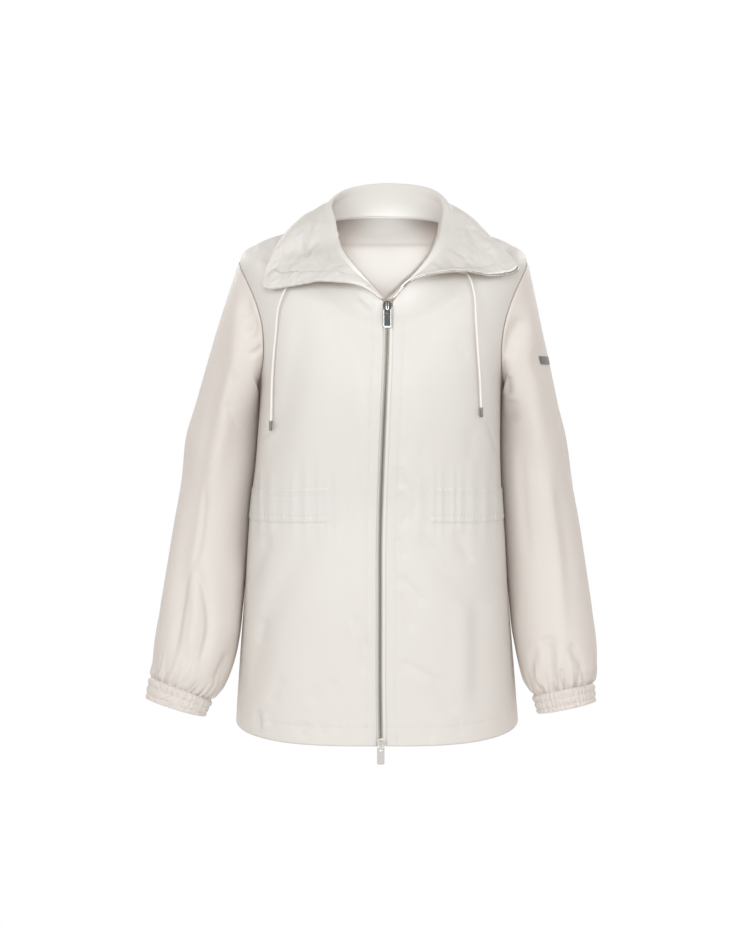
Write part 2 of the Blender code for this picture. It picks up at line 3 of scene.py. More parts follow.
import bmesh
import bpy
import numpy as np
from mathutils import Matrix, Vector


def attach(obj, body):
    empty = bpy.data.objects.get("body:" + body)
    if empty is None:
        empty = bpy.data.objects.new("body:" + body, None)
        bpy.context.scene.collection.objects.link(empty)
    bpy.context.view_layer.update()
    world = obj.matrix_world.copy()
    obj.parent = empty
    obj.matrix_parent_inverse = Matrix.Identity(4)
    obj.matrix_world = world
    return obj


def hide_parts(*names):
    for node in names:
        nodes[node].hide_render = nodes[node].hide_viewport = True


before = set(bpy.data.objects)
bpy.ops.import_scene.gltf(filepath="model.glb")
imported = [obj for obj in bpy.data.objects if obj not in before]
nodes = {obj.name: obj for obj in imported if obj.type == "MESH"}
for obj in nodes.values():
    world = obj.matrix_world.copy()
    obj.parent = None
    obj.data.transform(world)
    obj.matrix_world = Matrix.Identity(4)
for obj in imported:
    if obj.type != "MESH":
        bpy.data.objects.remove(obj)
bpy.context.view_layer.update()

# metres, +Z up, the jacket faces -Y; left and right are the wearer's, left is +X
sideSign = {"right": -1, "left": 1}


# camera

cameraPlace = {
    "spot": np.array((-0.0172, -2.5522, 0.1662)),
    "downTilt": 11.0,         # degrees below level
    "lens": 73.35,            # mm, on a 36 mm sensor along the long side
    "sensor": 36.0,
    "picture": (741, 926),    # px
}
tilt = math.radians(cameraPlace["downTilt"])
lookAlong = np.array((0.0, math.cos(tilt), -math.sin(tilt)))
lookUp = np.array((0.0, math.sin(tilt), math.cos(tilt)))


def makeCamera():
    data = bpy.data.cameras.new("camera")
    data.lens = cameraPlace["lens"]
    data.sensor_width = cameraPlace["sensor"]
    camera = bpy.data.objects.new("camera", data)
    camera.location = cameraPlace["spot"]
    camera.rotation_euler = (math.pi / 2 - tilt, 0, 0)
    bpy.context.scene.collection.objects.link(camera)
    bpy.context.scene.camera = camera


def inPicture(points):
    # where points fall in the picture, in px
    wide, tall = cameraPlace["picture"]
    scale = cameraPlace["lens"] / cameraPlace["sensor"] * tall
    away = points - cameraPlace["spot"]
    depth = away @ lookAlong
    return wide / 2 + scale * away[..., 0] / depth, tall / 2 - scale * (away @ lookUp) / depth


makeCamera()
print("camera placed")


# node helpers

class Value:
    # a socket whose arithmetic adds Math nodes

    def __init__(self, look, socket):
        self.look = look
        self.socket = socket

    def maths(self, operation, first, second):
        made = self.look.node("ShaderNodeMath", {"operation": operation}, {0: first, 1: second})
        return Value(self.look, made.outputs[0])

    def __add__(self, other):
        return self.maths("ADD", self, other)

    def __radd__(self, other):
        return self.maths("ADD", other, self)

    def __sub__(self, other):
        return self.maths("SUBTRACT", self, other)

    def __rsub__(self, other):
        return self.maths("SUBTRACT", other, self)

    def __mul__(self, other):
        return self.maths("MULTIPLY", self, other)

    def __rmul__(self, other):
        return self.maths("MULTIPLY", other, self)


class Look:
    def __init__(self, name):
        self.material = bpy.data.materials.new(name)
        self.material.use_nodes = True
        self.tree = self.material.node_tree
        self.shader = self.tree.nodes["Principled BSDF"]

    def feed(self, socket, value):
        if isinstance(value, Value):
            self.tree.links.new(value.socket, socket)
        else:
            socket.default_value = value

    def node(self, kind, settings=None, sockets=None):
        made = self.tree.nodes.new(kind)
        for key, value in (settings or {}).items():
            setattr(made, key, value)
        for key, value in (sockets or {}).items():
            self.feed(made.inputs[key], value)
        return made

    def tap(self, kind, settings=None, sockets=None, output=0):
        return Value(self, self.node(kind, settings, sockets).outputs[output])

    def blendColours(self, amount, first, second):
        made = self.node("ShaderNodeMix", {"data_type": "RGBA"}, {0: amount, 6: (*first, 1), 7: (*second, 1)})
        return Value(self, made.outputs[2])

    def finish(self, sockets, second=None, share=0.0):
        # second is another shader that takes its share of the surface
        for key, value in sockets.items():
            self.feed(self.shader.inputs[key], value)
        if second:
            mixed = self.tap("ShaderNodeMixShader", None,
                             {0: share, 1: Value(self, self.shader.outputs[0]), 2: second})
            self.feed(self.tree.nodes["Material Output"].inputs["Surface"], mixed)
        return self.material


# finishes

clothFinish = {
    "cream": (0.800, 0.794, 0.779),
    "deepCream": (0.785, 0.766, 0.738),
    "glow": (0.90, 0.71, 0.57),   # light that comes through the cloth
    "glowShare": 0.24,
    "roughness": 0.52,
    "threadPitch": 0.00055,   # m between threads
    "threadDepth": 0.00004,
    "crumpleSize": 0.011,     # m across the small unevenness of the cloth
    "crumpleDepth": 0.00030,
    "patchScale": 14.0,       # slow changes of tone, a metre
    # the sleeves and cuffs take a warmer, darker copy of the cream: painted shade, for the warm shade they
    # sit in beside the body
    "sleevePaintedShade": (1.0, 0.97, 0.952),
    "threadTint": (0.93, 0.93, 0.93),
}
wavePeriod = 0.31416          # a wave texture of scale 1 repeats at this distance


def weave(look, grain, pitch):
    # plain weave: two waves crossing as a checker
    waves = []
    for direction in ("X", "Y"):
        waves.append(look.tap("ShaderNodeTexWave", {"bands_direction": direction},
                              {"Vector": grain, "Scale": wavePeriod / pitch}, "Fac"))
    warp, weft = waves
    return warp * weft + (1 - warp) * (1 - weft)


def makeClothLook(name, tint=(1.0, 1.0, 1.0)):
    f = clothFinish
    look = Look(name)
    grain = look.tap("ShaderNodeUVMap", {"uv_map": "grain"})
    threads = weave(look, grain, f["threadPitch"])
    crumple = look.tap("ShaderNodeTexNoise", None, {"Vector": grain, "Scale": 1 / f["crumpleSize"],
                                                    "Detail": 3.0, "Roughness": 0.55}, "Fac")
    patches = look.tap("ShaderNodeTexNoise", None,
                       {"Vector": grain, "Scale": f["patchScale"], "Detail": 2.0}, "Fac")
    cream, deep, glow = [tuple(np.multiply(tint, f[shade])) for shade in ("cream", "deepCream", "glow")]
    colour = look.blendColours(patches * 0.7 + threads * 0.3, cream, deep)
    low = look.tap("ShaderNodeBump", None,
                   {"Strength": 0.5, "Distance": f["crumpleDepth"], "Height": crumple})
    high = look.tap("ShaderNodeBump", None, {"Strength": 0.6, "Distance": f["threadDepth"],
                                             "Height": threads, "Normal": low})
    through = look.tap("ShaderNodeBsdfTranslucent", None, {"Color": (*glow, 1)})
    return look.finish({"Base Color": colour, "Roughness": f["roughness"] + (crumple - 0.5) * 0.16,
                        "Normal": high, "Specular IOR Level": 0.42}, through, f["glowShare"])


tapeFinish = {
    "pale": (0.82, 0.80, 0.765),
    # shade is the colour deep between the ribs: painted shade
    "shade": (0.72, 0.69, 0.65),
    "ribPitch": 0.0011,
    "ribDepth": 0.00012,
    "fuzzScale": 1500.0,
}


def makeTapeLook():
    f = tapeFinish
    look = Look("zipTape")
    grain = look.tap("ShaderNodeUVMap", {"uv_map": "grain"})
    ribs = look.tap("ShaderNodeTexWave", {"bands_direction": "DIAGONAL"},
                    {"Vector": grain, "Scale": wavePeriod / f["ribPitch"]}, "Fac")
    fuzz = look.tap("ShaderNodeTexNoise", None,
                    {"Vector": grain, "Scale": f["fuzzScale"], "Detail": 2.0}, "Fac")
    bump = look.tap("ShaderNodeBump", None, {"Strength": 0.8, "Distance": f["ribDepth"],
                                             "Height": ribs * 0.8 + fuzz * 0.2})
    # the colour follows the ribs' bump, darker in the grooves: painted shade, with random tone from the fuzz
    return look.finish({"Base Color": look.blendColours(ribs * 0.6 + fuzz * 0.4, f["shade"], f["pale"]),
                        "Roughness": 0.72 + fuzz * 0.12, "Normal": bump})


cordFinish = {
    "pale": (0.86, 0.83, 0.79),
    # shade is the colour deep between the strands: painted shade
    "shade": (0.74, 0.70, 0.65),
    "strandPitch": 0.0006,
    "strandDepth": 0.0001,
    "fuzzScale": 2200.0,
}


def makeCordLook():
    f = cordFinish
    look = Look("braidedCord")
    grain = look.tap("ShaderNodeUVMap", {"uv_map": "grain"})
    strands = look.tap("ShaderNodeTexWave", {"bands_direction": "DIAGONAL"},
                       {"Vector": grain, "Scale": wavePeriod / f["strandPitch"], "Distortion": 0.6}, "Fac")
    fuzz = look.tap("ShaderNodeTexNoise", None,
                    {"Vector": grain, "Scale": f["fuzzScale"], "Detail": 2.0}, "Fac")
    bump = look.tap("ShaderNodeBump", None,
                    {"Strength": 0.6, "Distance": f["strandDepth"], "Height": strands})
    # the colour follows the strands' bump, darker in the grooves: painted shade, with random tone from the
    # fuzz
    return look.finish({"Base Color": look.blendColours(strands * 0.55 + fuzz * 0.45, f["shade"], f["pale"]),
                        "Roughness": 0.62 + fuzz * 0.16, "Normal": bump})


# bright and dull colour, then roughness
metalFinishes = {
    "polishedNickel": ((0.70, 0.68, 0.64), (0.54, 0.52, 0.48), 0.17),
    # near-black nickel for the upper slider's body and its pull's face: painted shade, where the lower slider
    # of the same zip is bright nickel
    "paintedShadeNickel": ((0.014, 0.014, 0.014), (0.008, 0.008, 0.008), 0.10),
    "pullRim": ((0.32, 0.305, 0.28), (0.22, 0.21, 0.19), 0.22),
    # a little darker than the polished nickel: painted shade between the teeth
    "zipTeeth": ((0.56, 0.53, 0.47), (0.36, 0.34, 0.30), 0.22),
    "darkPlate": ((0.22, 0.215, 0.205), (0.15, 0.145, 0.14), 0.38),
}
metalGrain = {"cloudScale": 420.0, "scratchScale": (900.0, 900.0, 9000.0), "scratchDepth": 0.00002}


def makeMetalLook(name):
    bright, dull, roughness = metalFinishes[name]
    f = metalGrain
    look = Look(name)
    place = look.tap("ShaderNodeTexCoord", None, None, "Object")
    clouds = look.tap("ShaderNodeTexNoise", None,
                      {"Vector": place, "Scale": f["cloudScale"], "Detail": 3.0}, "Fac")
    stretched = look.tap("ShaderNodeVectorMath", {"operation": "MULTIPLY"}, {0: place, 1: f["scratchScale"]})
    scratches = look.tap("ShaderNodeTexNoise", None,
                         {"Vector": stretched, "Scale": 1.0, "Detail": 1.0}, "Fac")
    bump = look.tap("ShaderNodeBump", None,
                    {"Strength": 0.25, "Distance": f["scratchDepth"], "Height": scratches})
    return look.finish({"Base Color": look.blendColours(clouds, bright, dull), "Metallic": 1.0,
                        "Roughness": roughness + clouds * 0.10 + scratches * 0.06, "Normal": bump})


clothLook = makeClothLook("creamCloth")
# a second cream for the sleeves and cuffs, tinted as painted shade
sleevePaintedShadeLook = makeClothLook("sleeveClothPaintedShade", clothFinish["sleevePaintedShade"])
threadLook = makeClothLook("creamThread", clothFinish["threadTint"])
tapeLook = makeTapeLook()
cordLook = makeCordLook()
nickelLook, paintedShadeNickelLook, rimLook, toothLook, plateLook = [makeMetalLook(name) for name in metalFinishes]
print("finishes made")


# curves, grids and meshes

def blendCurve(start, end, startSlope, endSlope, t):
    square, cube = t * t, t * t * t
    return (start * (2 * cube - 3 * square + 1) + startSlope * (cube - 2 * square + t)
            + end * (3 * square - 2 * cube) + endSlope * (cube - square))


def curveThrough(rows, place):
    # smooth curve through rows of numbers, at places counted in rows
    rows = np.asarray(rows, float)
    padded = np.vstack((2 * rows[0] - rows[1], rows, 2 * rows[-1] - rows[-2]))
    place = np.asarray(place, float)
    k = np.clip(np.floor(place).astype(int), 0, len(rows) - 2)
    before, start, end, after = (padded[k + step] for step in range(4))
    return blendCurve(start, end, (end - before) / 2, (after - start) / 2, (place - k)[..., None])


def ringsAbout(rings, place):
    # the rings before, at, after and beyond each place, and the number of the one at it
    last = len(rings) - 1
    k = np.clip(np.floor(place).astype(int), 0, last - 1)
    steps = [np.clip(k + step, 0, last)[None, ..., None] for step in (-1, 0, 1, 2)]
    return [np.take_along_axis(rings, step, axis=0)[0] for step in steps], k


def unit(vectors):
    return vectors / np.maximum(np.linalg.norm(vectors, axis=-1, keepdims=True), 1e-12)


def smoothStep(low, high, value):
    t = np.clip((value - low) / (high - low), 0, 1)
    return t * t * (3 - 2 * t)


def lengthsAlong(points):
    steps = np.linalg.norm(np.diff(points, axis=0), axis=-1)
    return np.concatenate(([0.0], np.cumsum(steps)))


def evenly(points, spacing):
    # points about a spacing apart along a line
    far = lengthsAlong(points)
    count = max(2, round(far[-1] / spacing) + 1)
    places = np.linspace(0, far[-1], count)
    return np.stack([np.interp(places, far, points[:, axis]) for axis in range(points.shape[1])], axis=1)


def gridNormals(points, flip=False, wrap=False):
    if wrap:
        across = np.roll(points, -1, axis=1) - np.roll(points, 1, axis=1)
    else:
        across = np.gradient(points, axis=1)
    normals = unit(np.cross(across, np.gradient(points, axis=0)))
    return -normals if flip else normals


def addObject(name, mesh, look, body="jacket"):
    mesh.materials.append(look)
    mesh.shade_smooth()
    piece = bpy.data.objects.new(name, mesh)
    bpy.context.scene.collection.objects.link(piece)
    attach(piece, body)
    return piece


def gridFaces(rows, columns, flip, wrap):
    i, j = np.meshgrid(np.arange(rows - 1), np.arange(columns if wrap else columns - 1), indexing="ij")
    i, j = i.ravel(), j.ravel()
    corners = [(i, j), (i, j + 1), (i + 1, j + 1), (i + 1, j)]
    if flip:
        corners = corners[::-1]
    rowsOf = np.stack([c[0] for c in corners], axis=1)
    columnsOf = np.stack([c[1] for c in corners], axis=1)
    return rowsOf * columns + columnsOf % columns, rowsOf, columnsOf


def makeCloth(name, points, look, wall, flip=False, wrap=False):
    # a grid of points as a thin shell, with its grain in metres as a UV map
    rows, columns = points.shape[:2]
    faces, rowsOf, columnsOf = gridFaces(rows, columns, flip, wrap)
    mesh = bpy.data.meshes.new(name)
    mesh.from_pydata(points.reshape(-1, 3).tolist(), [], faces.tolist())
    middleRow = points[rows // 2]
    if wrap:
        middleRow = np.concatenate((middleRow, middleRow[:1]))
    u, v = lengthsAlong(middleRow), lengthsAlong(points[:, columns // 2])
    grain = mesh.uv_layers.new(name="grain")
    grain.data.foreach_set("uv", np.stack((u[columnsOf.ravel()], v[rowsOf.ravel()]), axis=1).ravel())
    piece = addObject(name, mesh, look)
    if wall:
        shell = piece.modifiers.new("wall", "SOLIDIFY")
        shell.thickness = wall
        shell.offset = -1
        shell.use_rim = True
    return piece


def layCloth(name, node, smooth, normals, rise, look, wall, flip=False, wrap=False):
    # cloth that stands a rise out of its smooth form, in place of a node of the CAD
    points = smooth + normals * rise[..., None]
    piece = makeCloth(name, points, look, wall, flip, wrap)
    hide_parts(node)
    return points, gridNormals(points, flip, wrap), piece


def onGrid(values, rowPlaces, columnPlaces):
    # values of a grid between its points
    rows, columns = values.shape[:2]
    i = np.clip(np.floor(rowPlaces).astype(int), 0, rows - 2)
    j = np.clip(np.floor(columnPlaces).astype(int), 0, columns - 2)
    s, t = (rowPlaces - i)[:, None], (columnPlaces - j)[:, None]
    low = values[i, j] * (1 - t) + values[i, j + 1] * t
    high = values[i + 1, j] * (1 - t) + values[i + 1, j + 1] * t
    return low * (1 - s) + high * s


def joinSolids(name, solids, look, body="jacket"):
    # one mesh from many (points, faces) solids
    points, faces, start = [], [], 0
    for solidPoints, solidFaces in solids:
        points.append(solidPoints)
        faces += [[start + corner for corner in face] for face in solidFaces]
        start += len(solidPoints)
    mesh = bpy.data.meshes.new(name)
    mesh.from_pydata(np.concatenate(points).tolist(), [], faces)
    return addObject(name, mesh, look, body)


def frames(points):
    # directions across a line of points, turning as little as possible
    ahead = unit(np.gradient(points, axis=0))
    first = np.cross(ahead[0], (1.0, 0.0, 0.0))
    side = unit(first if np.linalg.norm(first) > 0.1 else np.cross(ahead[0], (0.0, 1.0, 0.0)))
    sides = []
    for heading in ahead:
        side = unit(side - heading * (side @ heading))
        sides.append(side)
    sides = np.array(sides)
    return ahead, sides, np.cross(ahead, sides)


def tube(points, radii, count):
    # a round tube with closed ends as (points, faces), and its grid
    _, sides, ups = frames(points)
    turns = np.linspace(0, 2 * math.pi, count, endpoint=False)
    ring = np.cos(turns)[None, :, None] * sides[:, None] + np.sin(turns)[None, :, None] * ups[:, None]
    radii = np.asarray(radii, float)
    grid = points[:, None] + ring * (radii if radii.ndim == 2 else radii[:, None])[..., None]
    faces = gridFaces(len(points), count, True, True)[0].tolist()
    last = (len(points) - 1) * count
    faces.append(list(range(count)))
    faces.append([last + k for k in reversed(range(count))])
    return grid.reshape(-1, 3), faces


# the jacket's form, as in the CAD: rows from the hem up to the shoulders

# zFront, zSide, zBack, halfWidth, front, back, lean
bodyRings = (
    (-0.6865, -0.693, -0.692, 0.1985, 0.150, 0.140, -0.008),
    (-0.600, -0.600, -0.602, 0.1910, 0.144, 0.134, -0.009),
    (-0.500, -0.500, -0.502, 0.1825, 0.137, 0.126, -0.009),
    (-0.420, -0.420, -0.422, 0.1765, 0.129, 0.117, -0.009),
    (-0.365, -0.365, -0.367, 0.1715, 0.126, 0.113, -0.008),
    (-0.300, -0.300, -0.300, 0.1665, 0.132, 0.116, -0.006),
    (-0.222, -0.215, -0.215, 0.1650, 0.137, 0.122, -0.003),
    (-0.172, -0.135, -0.128, 0.1780, 0.131, 0.119, -0.001),
    (-0.138, -0.053, -0.052, 0.1930, 0.120, 0.104, 0.000),
    (-0.126, -0.030, -0.034, 0.1700, 0.117, 0.094, 0.000),
    (-0.112, -0.0165, -0.018, 0.1350, 0.112, 0.080, 0.000),
)
armpitRing, tipRing, neckRing = 6, 8, 11
neckline = {
    "front": ((0.0000, -0.1085, -0.0960), (0.0180, -0.1020, -0.0800), (0.0370, -0.0910, -0.0640),
              (0.0560, -0.0680, -0.0440), (0.0690, -0.0360, -0.0200), (0.0745, 0.0000, 0.0000)),
    "back": ((0.0000, 0.0600, 0.0040), (0.0240, 0.0570, 0.0035), (0.0470, 0.0460, 0.0025),
             (0.0650, 0.0270, 0.0010), (0.0745, 0.0000, 0.0000)),
}
bodyForm = {
    "ringPower": 2.35,
    "armholeFront": 0.27,
    "armholeBack": 0.21,
    "zipShift": 0.0045,
    "frontEdge": {"right": 0.0052, "left": 0.0075},
    "sideTrim": 0.0001,
    "shoulderTrim": 0.0002,
    "seamCalm": 0.05,         # share of a panel over which creases fade towards its side and shoulder seams
    "armholeTuck": 0.008,     # share of the quarter round that a panel runs on under the sleeve
    "wall": 0.0011,
}


def neckPoint(around, side, half):
    line = neckline[half]
    return curveThrough(line, around * (len(line) - 1)) * np.array((sideSign[side], 1, 1))


def ringPoint(ring, around, side, half):
    # around is 0 at the centre and 1 at the side seam
    if ring >= neckRing:
        return neckPoint(around, side, half)
    zFront, zSide, zBack, width, front, back, lean = bodyRings[ring]
    depth, zCentre, facing = (front, zFront, -1) if half == "front" else (back, zBack, 1)
    across, deep = np.sin(around * math.pi / 2), np.cos(around * math.pi / 2)
    power = bodyForm["ringPower"]
    deep = np.maximum(deep, 0)
    reach = ((across / width) ** power + (deep / depth) ** power) ** (-1 / power)
    z = zSide + (zCentre - zSide) * deep ** 2
    return np.stack((lean + sideSign[side] * reach * across, facing * reach * deep, z), axis=-1)


def bodyMiddle(level, around, side, half):
    level, around = np.broadcast_arrays(np.asarray(level, float), np.asarray(around, float))
    rings = np.stack([ringPoint(ring, around, side, half) for ring in range(neckRing + 1)])
    (before, start, end, after), k = ringsAbout(rings, level)
    point = blendCurve(start, end, (end - before) / 2, (after - start) / 2, (level - k)[..., None])
    if half == "front":
        point[..., 0] += bodyForm["zipShift"] * (1 - around) ** 2
    return point


def bodyPoint(level, around, side, half):
    point = bodyMiddle(level, around, side, half)
    if half == "front":
        point[..., 0] += sideSign[side] * bodyForm["frontEdge"][side] * (1 - around) ** 4
    return point


def bodyOut(level, around, side, half):
    step = 0.02
    low, high = np.maximum(level - step, 0), np.minimum(level + step, neckRing)
    near, far = np.maximum(around - step, 0), np.minimum(around + step, 1)
    up = bodyPoint(high, around, side, half) - bodyPoint(low, around, side, half)
    across = bodyPoint(level, far, side, half) - bodyPoint(level, near, side, half)
    return unit(np.cross(across, up)) * sideSign[side] * (1 if half == "front" else -1)


def armholePlace(turn):
    # turn is 0 at the armpit and pi at the shoulder; the front half has a positive sine
    level = armpitRing + (tipRing - armpitRing) * (1 - np.cos(turn)) / 2
    reach = np.where(np.sin(turn) >= 0, bodyForm["armholeFront"], bodyForm["armholeBack"])
    return level, 1 - reach * np.abs(np.sin(turn))


def panelEnd(level, half):
    turn = np.arccos(np.clip(1 - 2 * (level - armpitRing) / (tipRing - armpitRing), -1, 1))
    tuck = bodyForm["armholeTuck"] * np.sin(turn)
    end = armholePlace(turn if half == "front" else -turn)[1] + tuck - bodyForm["sideTrim"]
    return np.where(level >= tipRing, 1 - bodyForm["shoulderTrim"], end)


# sections from the upper arm to the cuff's end: x outwards, y, z, halfWidth, halfDepth
sleeveSections = {
    "right": (
        (0.2171, 0.020, -0.272, 0.0447, 0.072),
        (0.2303, 0.022, -0.355, 0.0466, 0.070),
        (0.2410, 0.015, -0.440, 0.0520, 0.067),
        (0.2510, -0.005, -0.520, 0.0558, 0.064),
        (0.2595, -0.026, -0.580, 0.0572, 0.062),
        (0.2685, -0.040, -0.618, 0.0530, 0.057),
        (0.2795, -0.048, -0.640, 0.0450, 0.045),
        (0.2870, -0.054, -0.6630, 0.0410, 0.039),
    ),
    "left": (
        (0.2033, 0.020, -0.272, 0.0405, 0.072),
        (0.2134, 0.022, -0.355, 0.0460, 0.070),
        (0.2236, 0.015, -0.440, 0.0526, 0.067),
        (0.2328, -0.005, -0.520, 0.0555, 0.064),
        (0.2403, -0.026, -0.580, 0.0557, 0.062),
        (0.2450, -0.040, -0.618, 0.0515, 0.057),
        (0.2495, -0.048, -0.641, 0.0420, 0.045),
        (0.2545, -0.054, -0.6635, 0.0390, 0.039),
    ),
}
sleeveForm = {
    "cuffEnd": 8,
    "shoulderDrop": {"right": (0.34, -0.94), "left": (0.24, -0.97)},
    "armpitEase": 0.03,
    "armpitLift": 0.0012,
    "outside": 0.0015,        # the showing face stands this far out of the sections
    "wall": 0.0011,
}


def sleeveRing(side, ring, turn):
    if ring == 0:
        level, around = armholePlace(turn)
        front = bodyMiddle(level, around, side, "front") + armholeLift(side, turn, "front")
        back = bodyMiddle(level, around, side, "back") + armholeLift(side, turn, "back")
        return np.where(np.sin(turn)[..., None] >= 0, front, back)
    rows = np.array(sleeveSections[side])
    x, y, z, halfWidth, halfDepth = rows[ring - 1]
    above, below = rows[max(ring - 2, 0)][:3], rows[min(ring, len(rows) - 1)][:3]
    down = unit(below - above)
    outward = unit(np.cross(down, (0.0, -1.0, 0.0)))
    outward = outward * np.sign(outward[0])
    forward = unit(np.cross(outward, down))
    forward = forward * -np.sign(forward[1])
    reach = (forward * halfDepth * np.sin(turn)[..., None] - outward * halfWidth * np.cos(turn)[..., None])
    return (np.array((x, y, z)) + reach) * np.array((sideSign[side], 1, 1))


def armholeLift(side, turn, half):
    level, around = armholePlace(turn)
    rise = sleeveForm["armpitLift"] * (1 + np.cos(turn)) / 2
    return bodyOut(level, around, side, half) * rise[..., None]


def sleevePoint(side, place, turn):
    # place 0 is the armhole and whole places are the sections below it
    place, turn = np.broadcast_arrays(np.asarray(place, float), np.asarray(turn, float))
    rings = np.stack([sleeveRing(side, ring, turn) for ring in range(sleeveForm["cuffEnd"] + 1)])
    (before, start, end, after), k = ringsAbout(rings, place)
    top = ((1 - np.cos(turn)) / 2)[..., None]
    sideways, down = sleeveForm["shoulderDrop"][side]
    drop = np.array((sideSign[side] * sideways, 0.0, down)) * np.linalg.norm(end - start, axis=-1)[..., None]
    level, around = armholePlace(turn)
    out = np.where(np.sin(turn)[..., None] >= 0, bodyOut(level, around, side, "front"),
                   bodyOut(level, around, side, "back"))
    headSlope = (end - start + out * sleeveForm["armpitEase"]) * (1 - top) + drop * top
    slope = np.where((k == 0)[..., None], headSlope, (end - before) / 2)
    return blendCurve(start, end, slope, (after - start) / 2, (place - k)[..., None])


# collar stations from the slider round the neck and back:
# place on the neckline, fold line x y z, free edge x y z, bulge of the fall
collarStations = (
    (0.04, 0.0000, -0.1140, -0.0900, -0.0030, -0.1180, -0.0895, 0.000),
    (0.20, -0.0160, -0.1080, -0.0730, -0.0340, -0.1260, -0.0716, 0.002),
    (0.40, -0.0360, -0.0950, -0.0520, -0.0840, -0.1270, -0.0672, 0.004),
    (0.56, -0.0520, -0.0700, -0.0340, -0.1280, -0.1180, -0.0753, 0.009),
    (0.70, -0.0590, -0.0420, -0.0180, -0.1575, -0.1040, -0.0742, 0.014),
    (0.87, -0.0640, -0.0160, 0.0050, -0.1440, -0.0600, -0.0315, 0.011),
    (1.10, -0.0690, 0.0180, 0.0275, -0.1230, 0.0080, -0.0090, 0.005),
    (1.55, -0.0460, 0.0600, 0.0425, -0.0820, 0.0860, -0.0080, 0.004),
    (2.00, 0.0050, 0.0760, 0.0485, 0.0040, 0.1100, -0.0100, 0.004),
    (2.45, 0.0620, 0.0580, 0.0425, 0.0880, 0.0850, -0.0060, 0.004),
    (2.90, 0.0830, 0.0180, 0.0270, 0.1210, 0.0200, -0.0020, 0.005),
    (3.13, 0.0800, -0.0160, 0.0020, 0.1490, -0.0400, -0.0240, 0.011),
    (3.30, 0.0745, -0.0445, -0.0165, 0.1740, -0.0880, -0.0520, 0.013),
    (3.44, 0.0630, -0.0690, -0.0350, 0.1420, -0.1090, -0.0606, 0.008),
    (3.60, 0.0445, -0.0935, -0.0550, 0.0960, -0.1230, -0.0553, 0.004),
    (3.80, 0.0230, -0.1070, -0.0745, 0.0410, -0.1230, -0.0640, 0.002),
    (3.96, 0.0085, -0.1140, -0.0900, 0.0120, -0.1180, -0.0890, 0.000),
)
collarForm = {
    "seamGap": 0.0003,
    "roll": 0.012,
    "rollStart": 0.3,
    "rollEnd": 0.5,
    "lastStation": 16,
    "points": {"right": 4, "left": 12},
    "wall": 0.0015,
}


def collarSeam(place):
    reach = np.where(place <= 2, place, 4 - place)
    front = neckPoint(np.minimum(reach, 1), "left", "front")
    back = neckPoint(np.clip(2 - reach, 0, 1), "left", "back")
    point = np.where((reach <= 1)[..., None], front, back)
    point[..., 0] *= np.where(place <= 2, -1, 1)
    return point


def collarPoint(station, across):
    # across runs from the neck seam over the fold to the free edge
    f = collarForm
    station, across = np.broadcast_arrays(np.asarray(station, float), np.asarray(across, float))
    row = curveThrough(collarStations, station)
    seam, fold, edge = collarSeam(row[..., 0]), row[..., 1:4], row[..., 4:7]
    up = unit(fold - seam)
    seam = seam + up * f["seamGap"]
    fall = unit(edge - fold)
    roll = np.minimum(np.minimum(f["roll"], np.linalg.norm(edge - fold, axis=-1) / 3),
                      np.linalg.norm(fold - seam, axis=-1) / 2)[..., None]
    top, turned = fold - up * roll, fold + fall * roll
    peak = fold + (up - fall) * roll / 2
    stand = seam + (top - seam) * (across / f["rollStart"])[..., None]
    t = ((across - f["rollStart"]) / (f["rollEnd"] - f["rollStart"]))[..., None]
    rolled = top * (1 - t) ** 2 + peak * 2 * t * (1 - t) + turned * t ** 2
    t = ((across - f["rollEnd"]) / (1 - f["rollEnd"]))[..., None]
    lift = unit(up - fall * np.sum(up * fall, axis=-1, keepdims=True)) * row[..., 7:8]
    falling = turned + (edge - turned) * t + lift * 4 * t * (1 - t)
    across = across[..., None]
    return np.where(across < f["rollStart"], stand, np.where(across < f["rollEnd"], rolled, falling))


# creases and gathers

seeds = {
    "slack": 11,
    "zipPuckers": {"right": 22, "left": 21},
    "waistGathers": {"right": 23, "left": 24, "back": 25},
    "hem": {"right": 32, "left": 31, "back": 33},
    "casing": {"front_right": 51, "front_left": 41, "back": 61},
    "cuffPleats": {"right": 72, "left": 71},
    "cuffRibs": {"right": 82, "left": 81},
    "cuffCrumples": {"right": 84, "left": 83},
    "collarEdge": 94,
    "facing": {"right": 96, "left": 95},
}


def lineDistance(x, y, line):
    # nearest distance to a line, which side (positive on the left of its heading) and how far along, 0 to 1
    best = np.full(x.shape, 1e9)
    side, share = np.zeros(x.shape), np.zeros(x.shape)
    far = lengthsAlong(line)
    for k in range(len(line) - 1):
        ax, ay = line[k]
        dx, dy = line[k + 1] - line[k]
        t = np.clip(((x - ax) * dx + (y - ay) * dy) / max(dx * dx + dy * dy, 1e-12), 0, 1)
        gapX, gapY = x - ax - t * dx, y - ay - t * dy
        gap = np.hypot(gapX, gapY)
        nearer = gap < best
        best = np.where(nearer, gap, best)
        side = np.where(nearer, dx * gapY - dy * gapX, side)
        share = np.where(nearer, (far[k] + t * (far[k + 1] - far[k])) / far[-1], share)
    return best, side, share


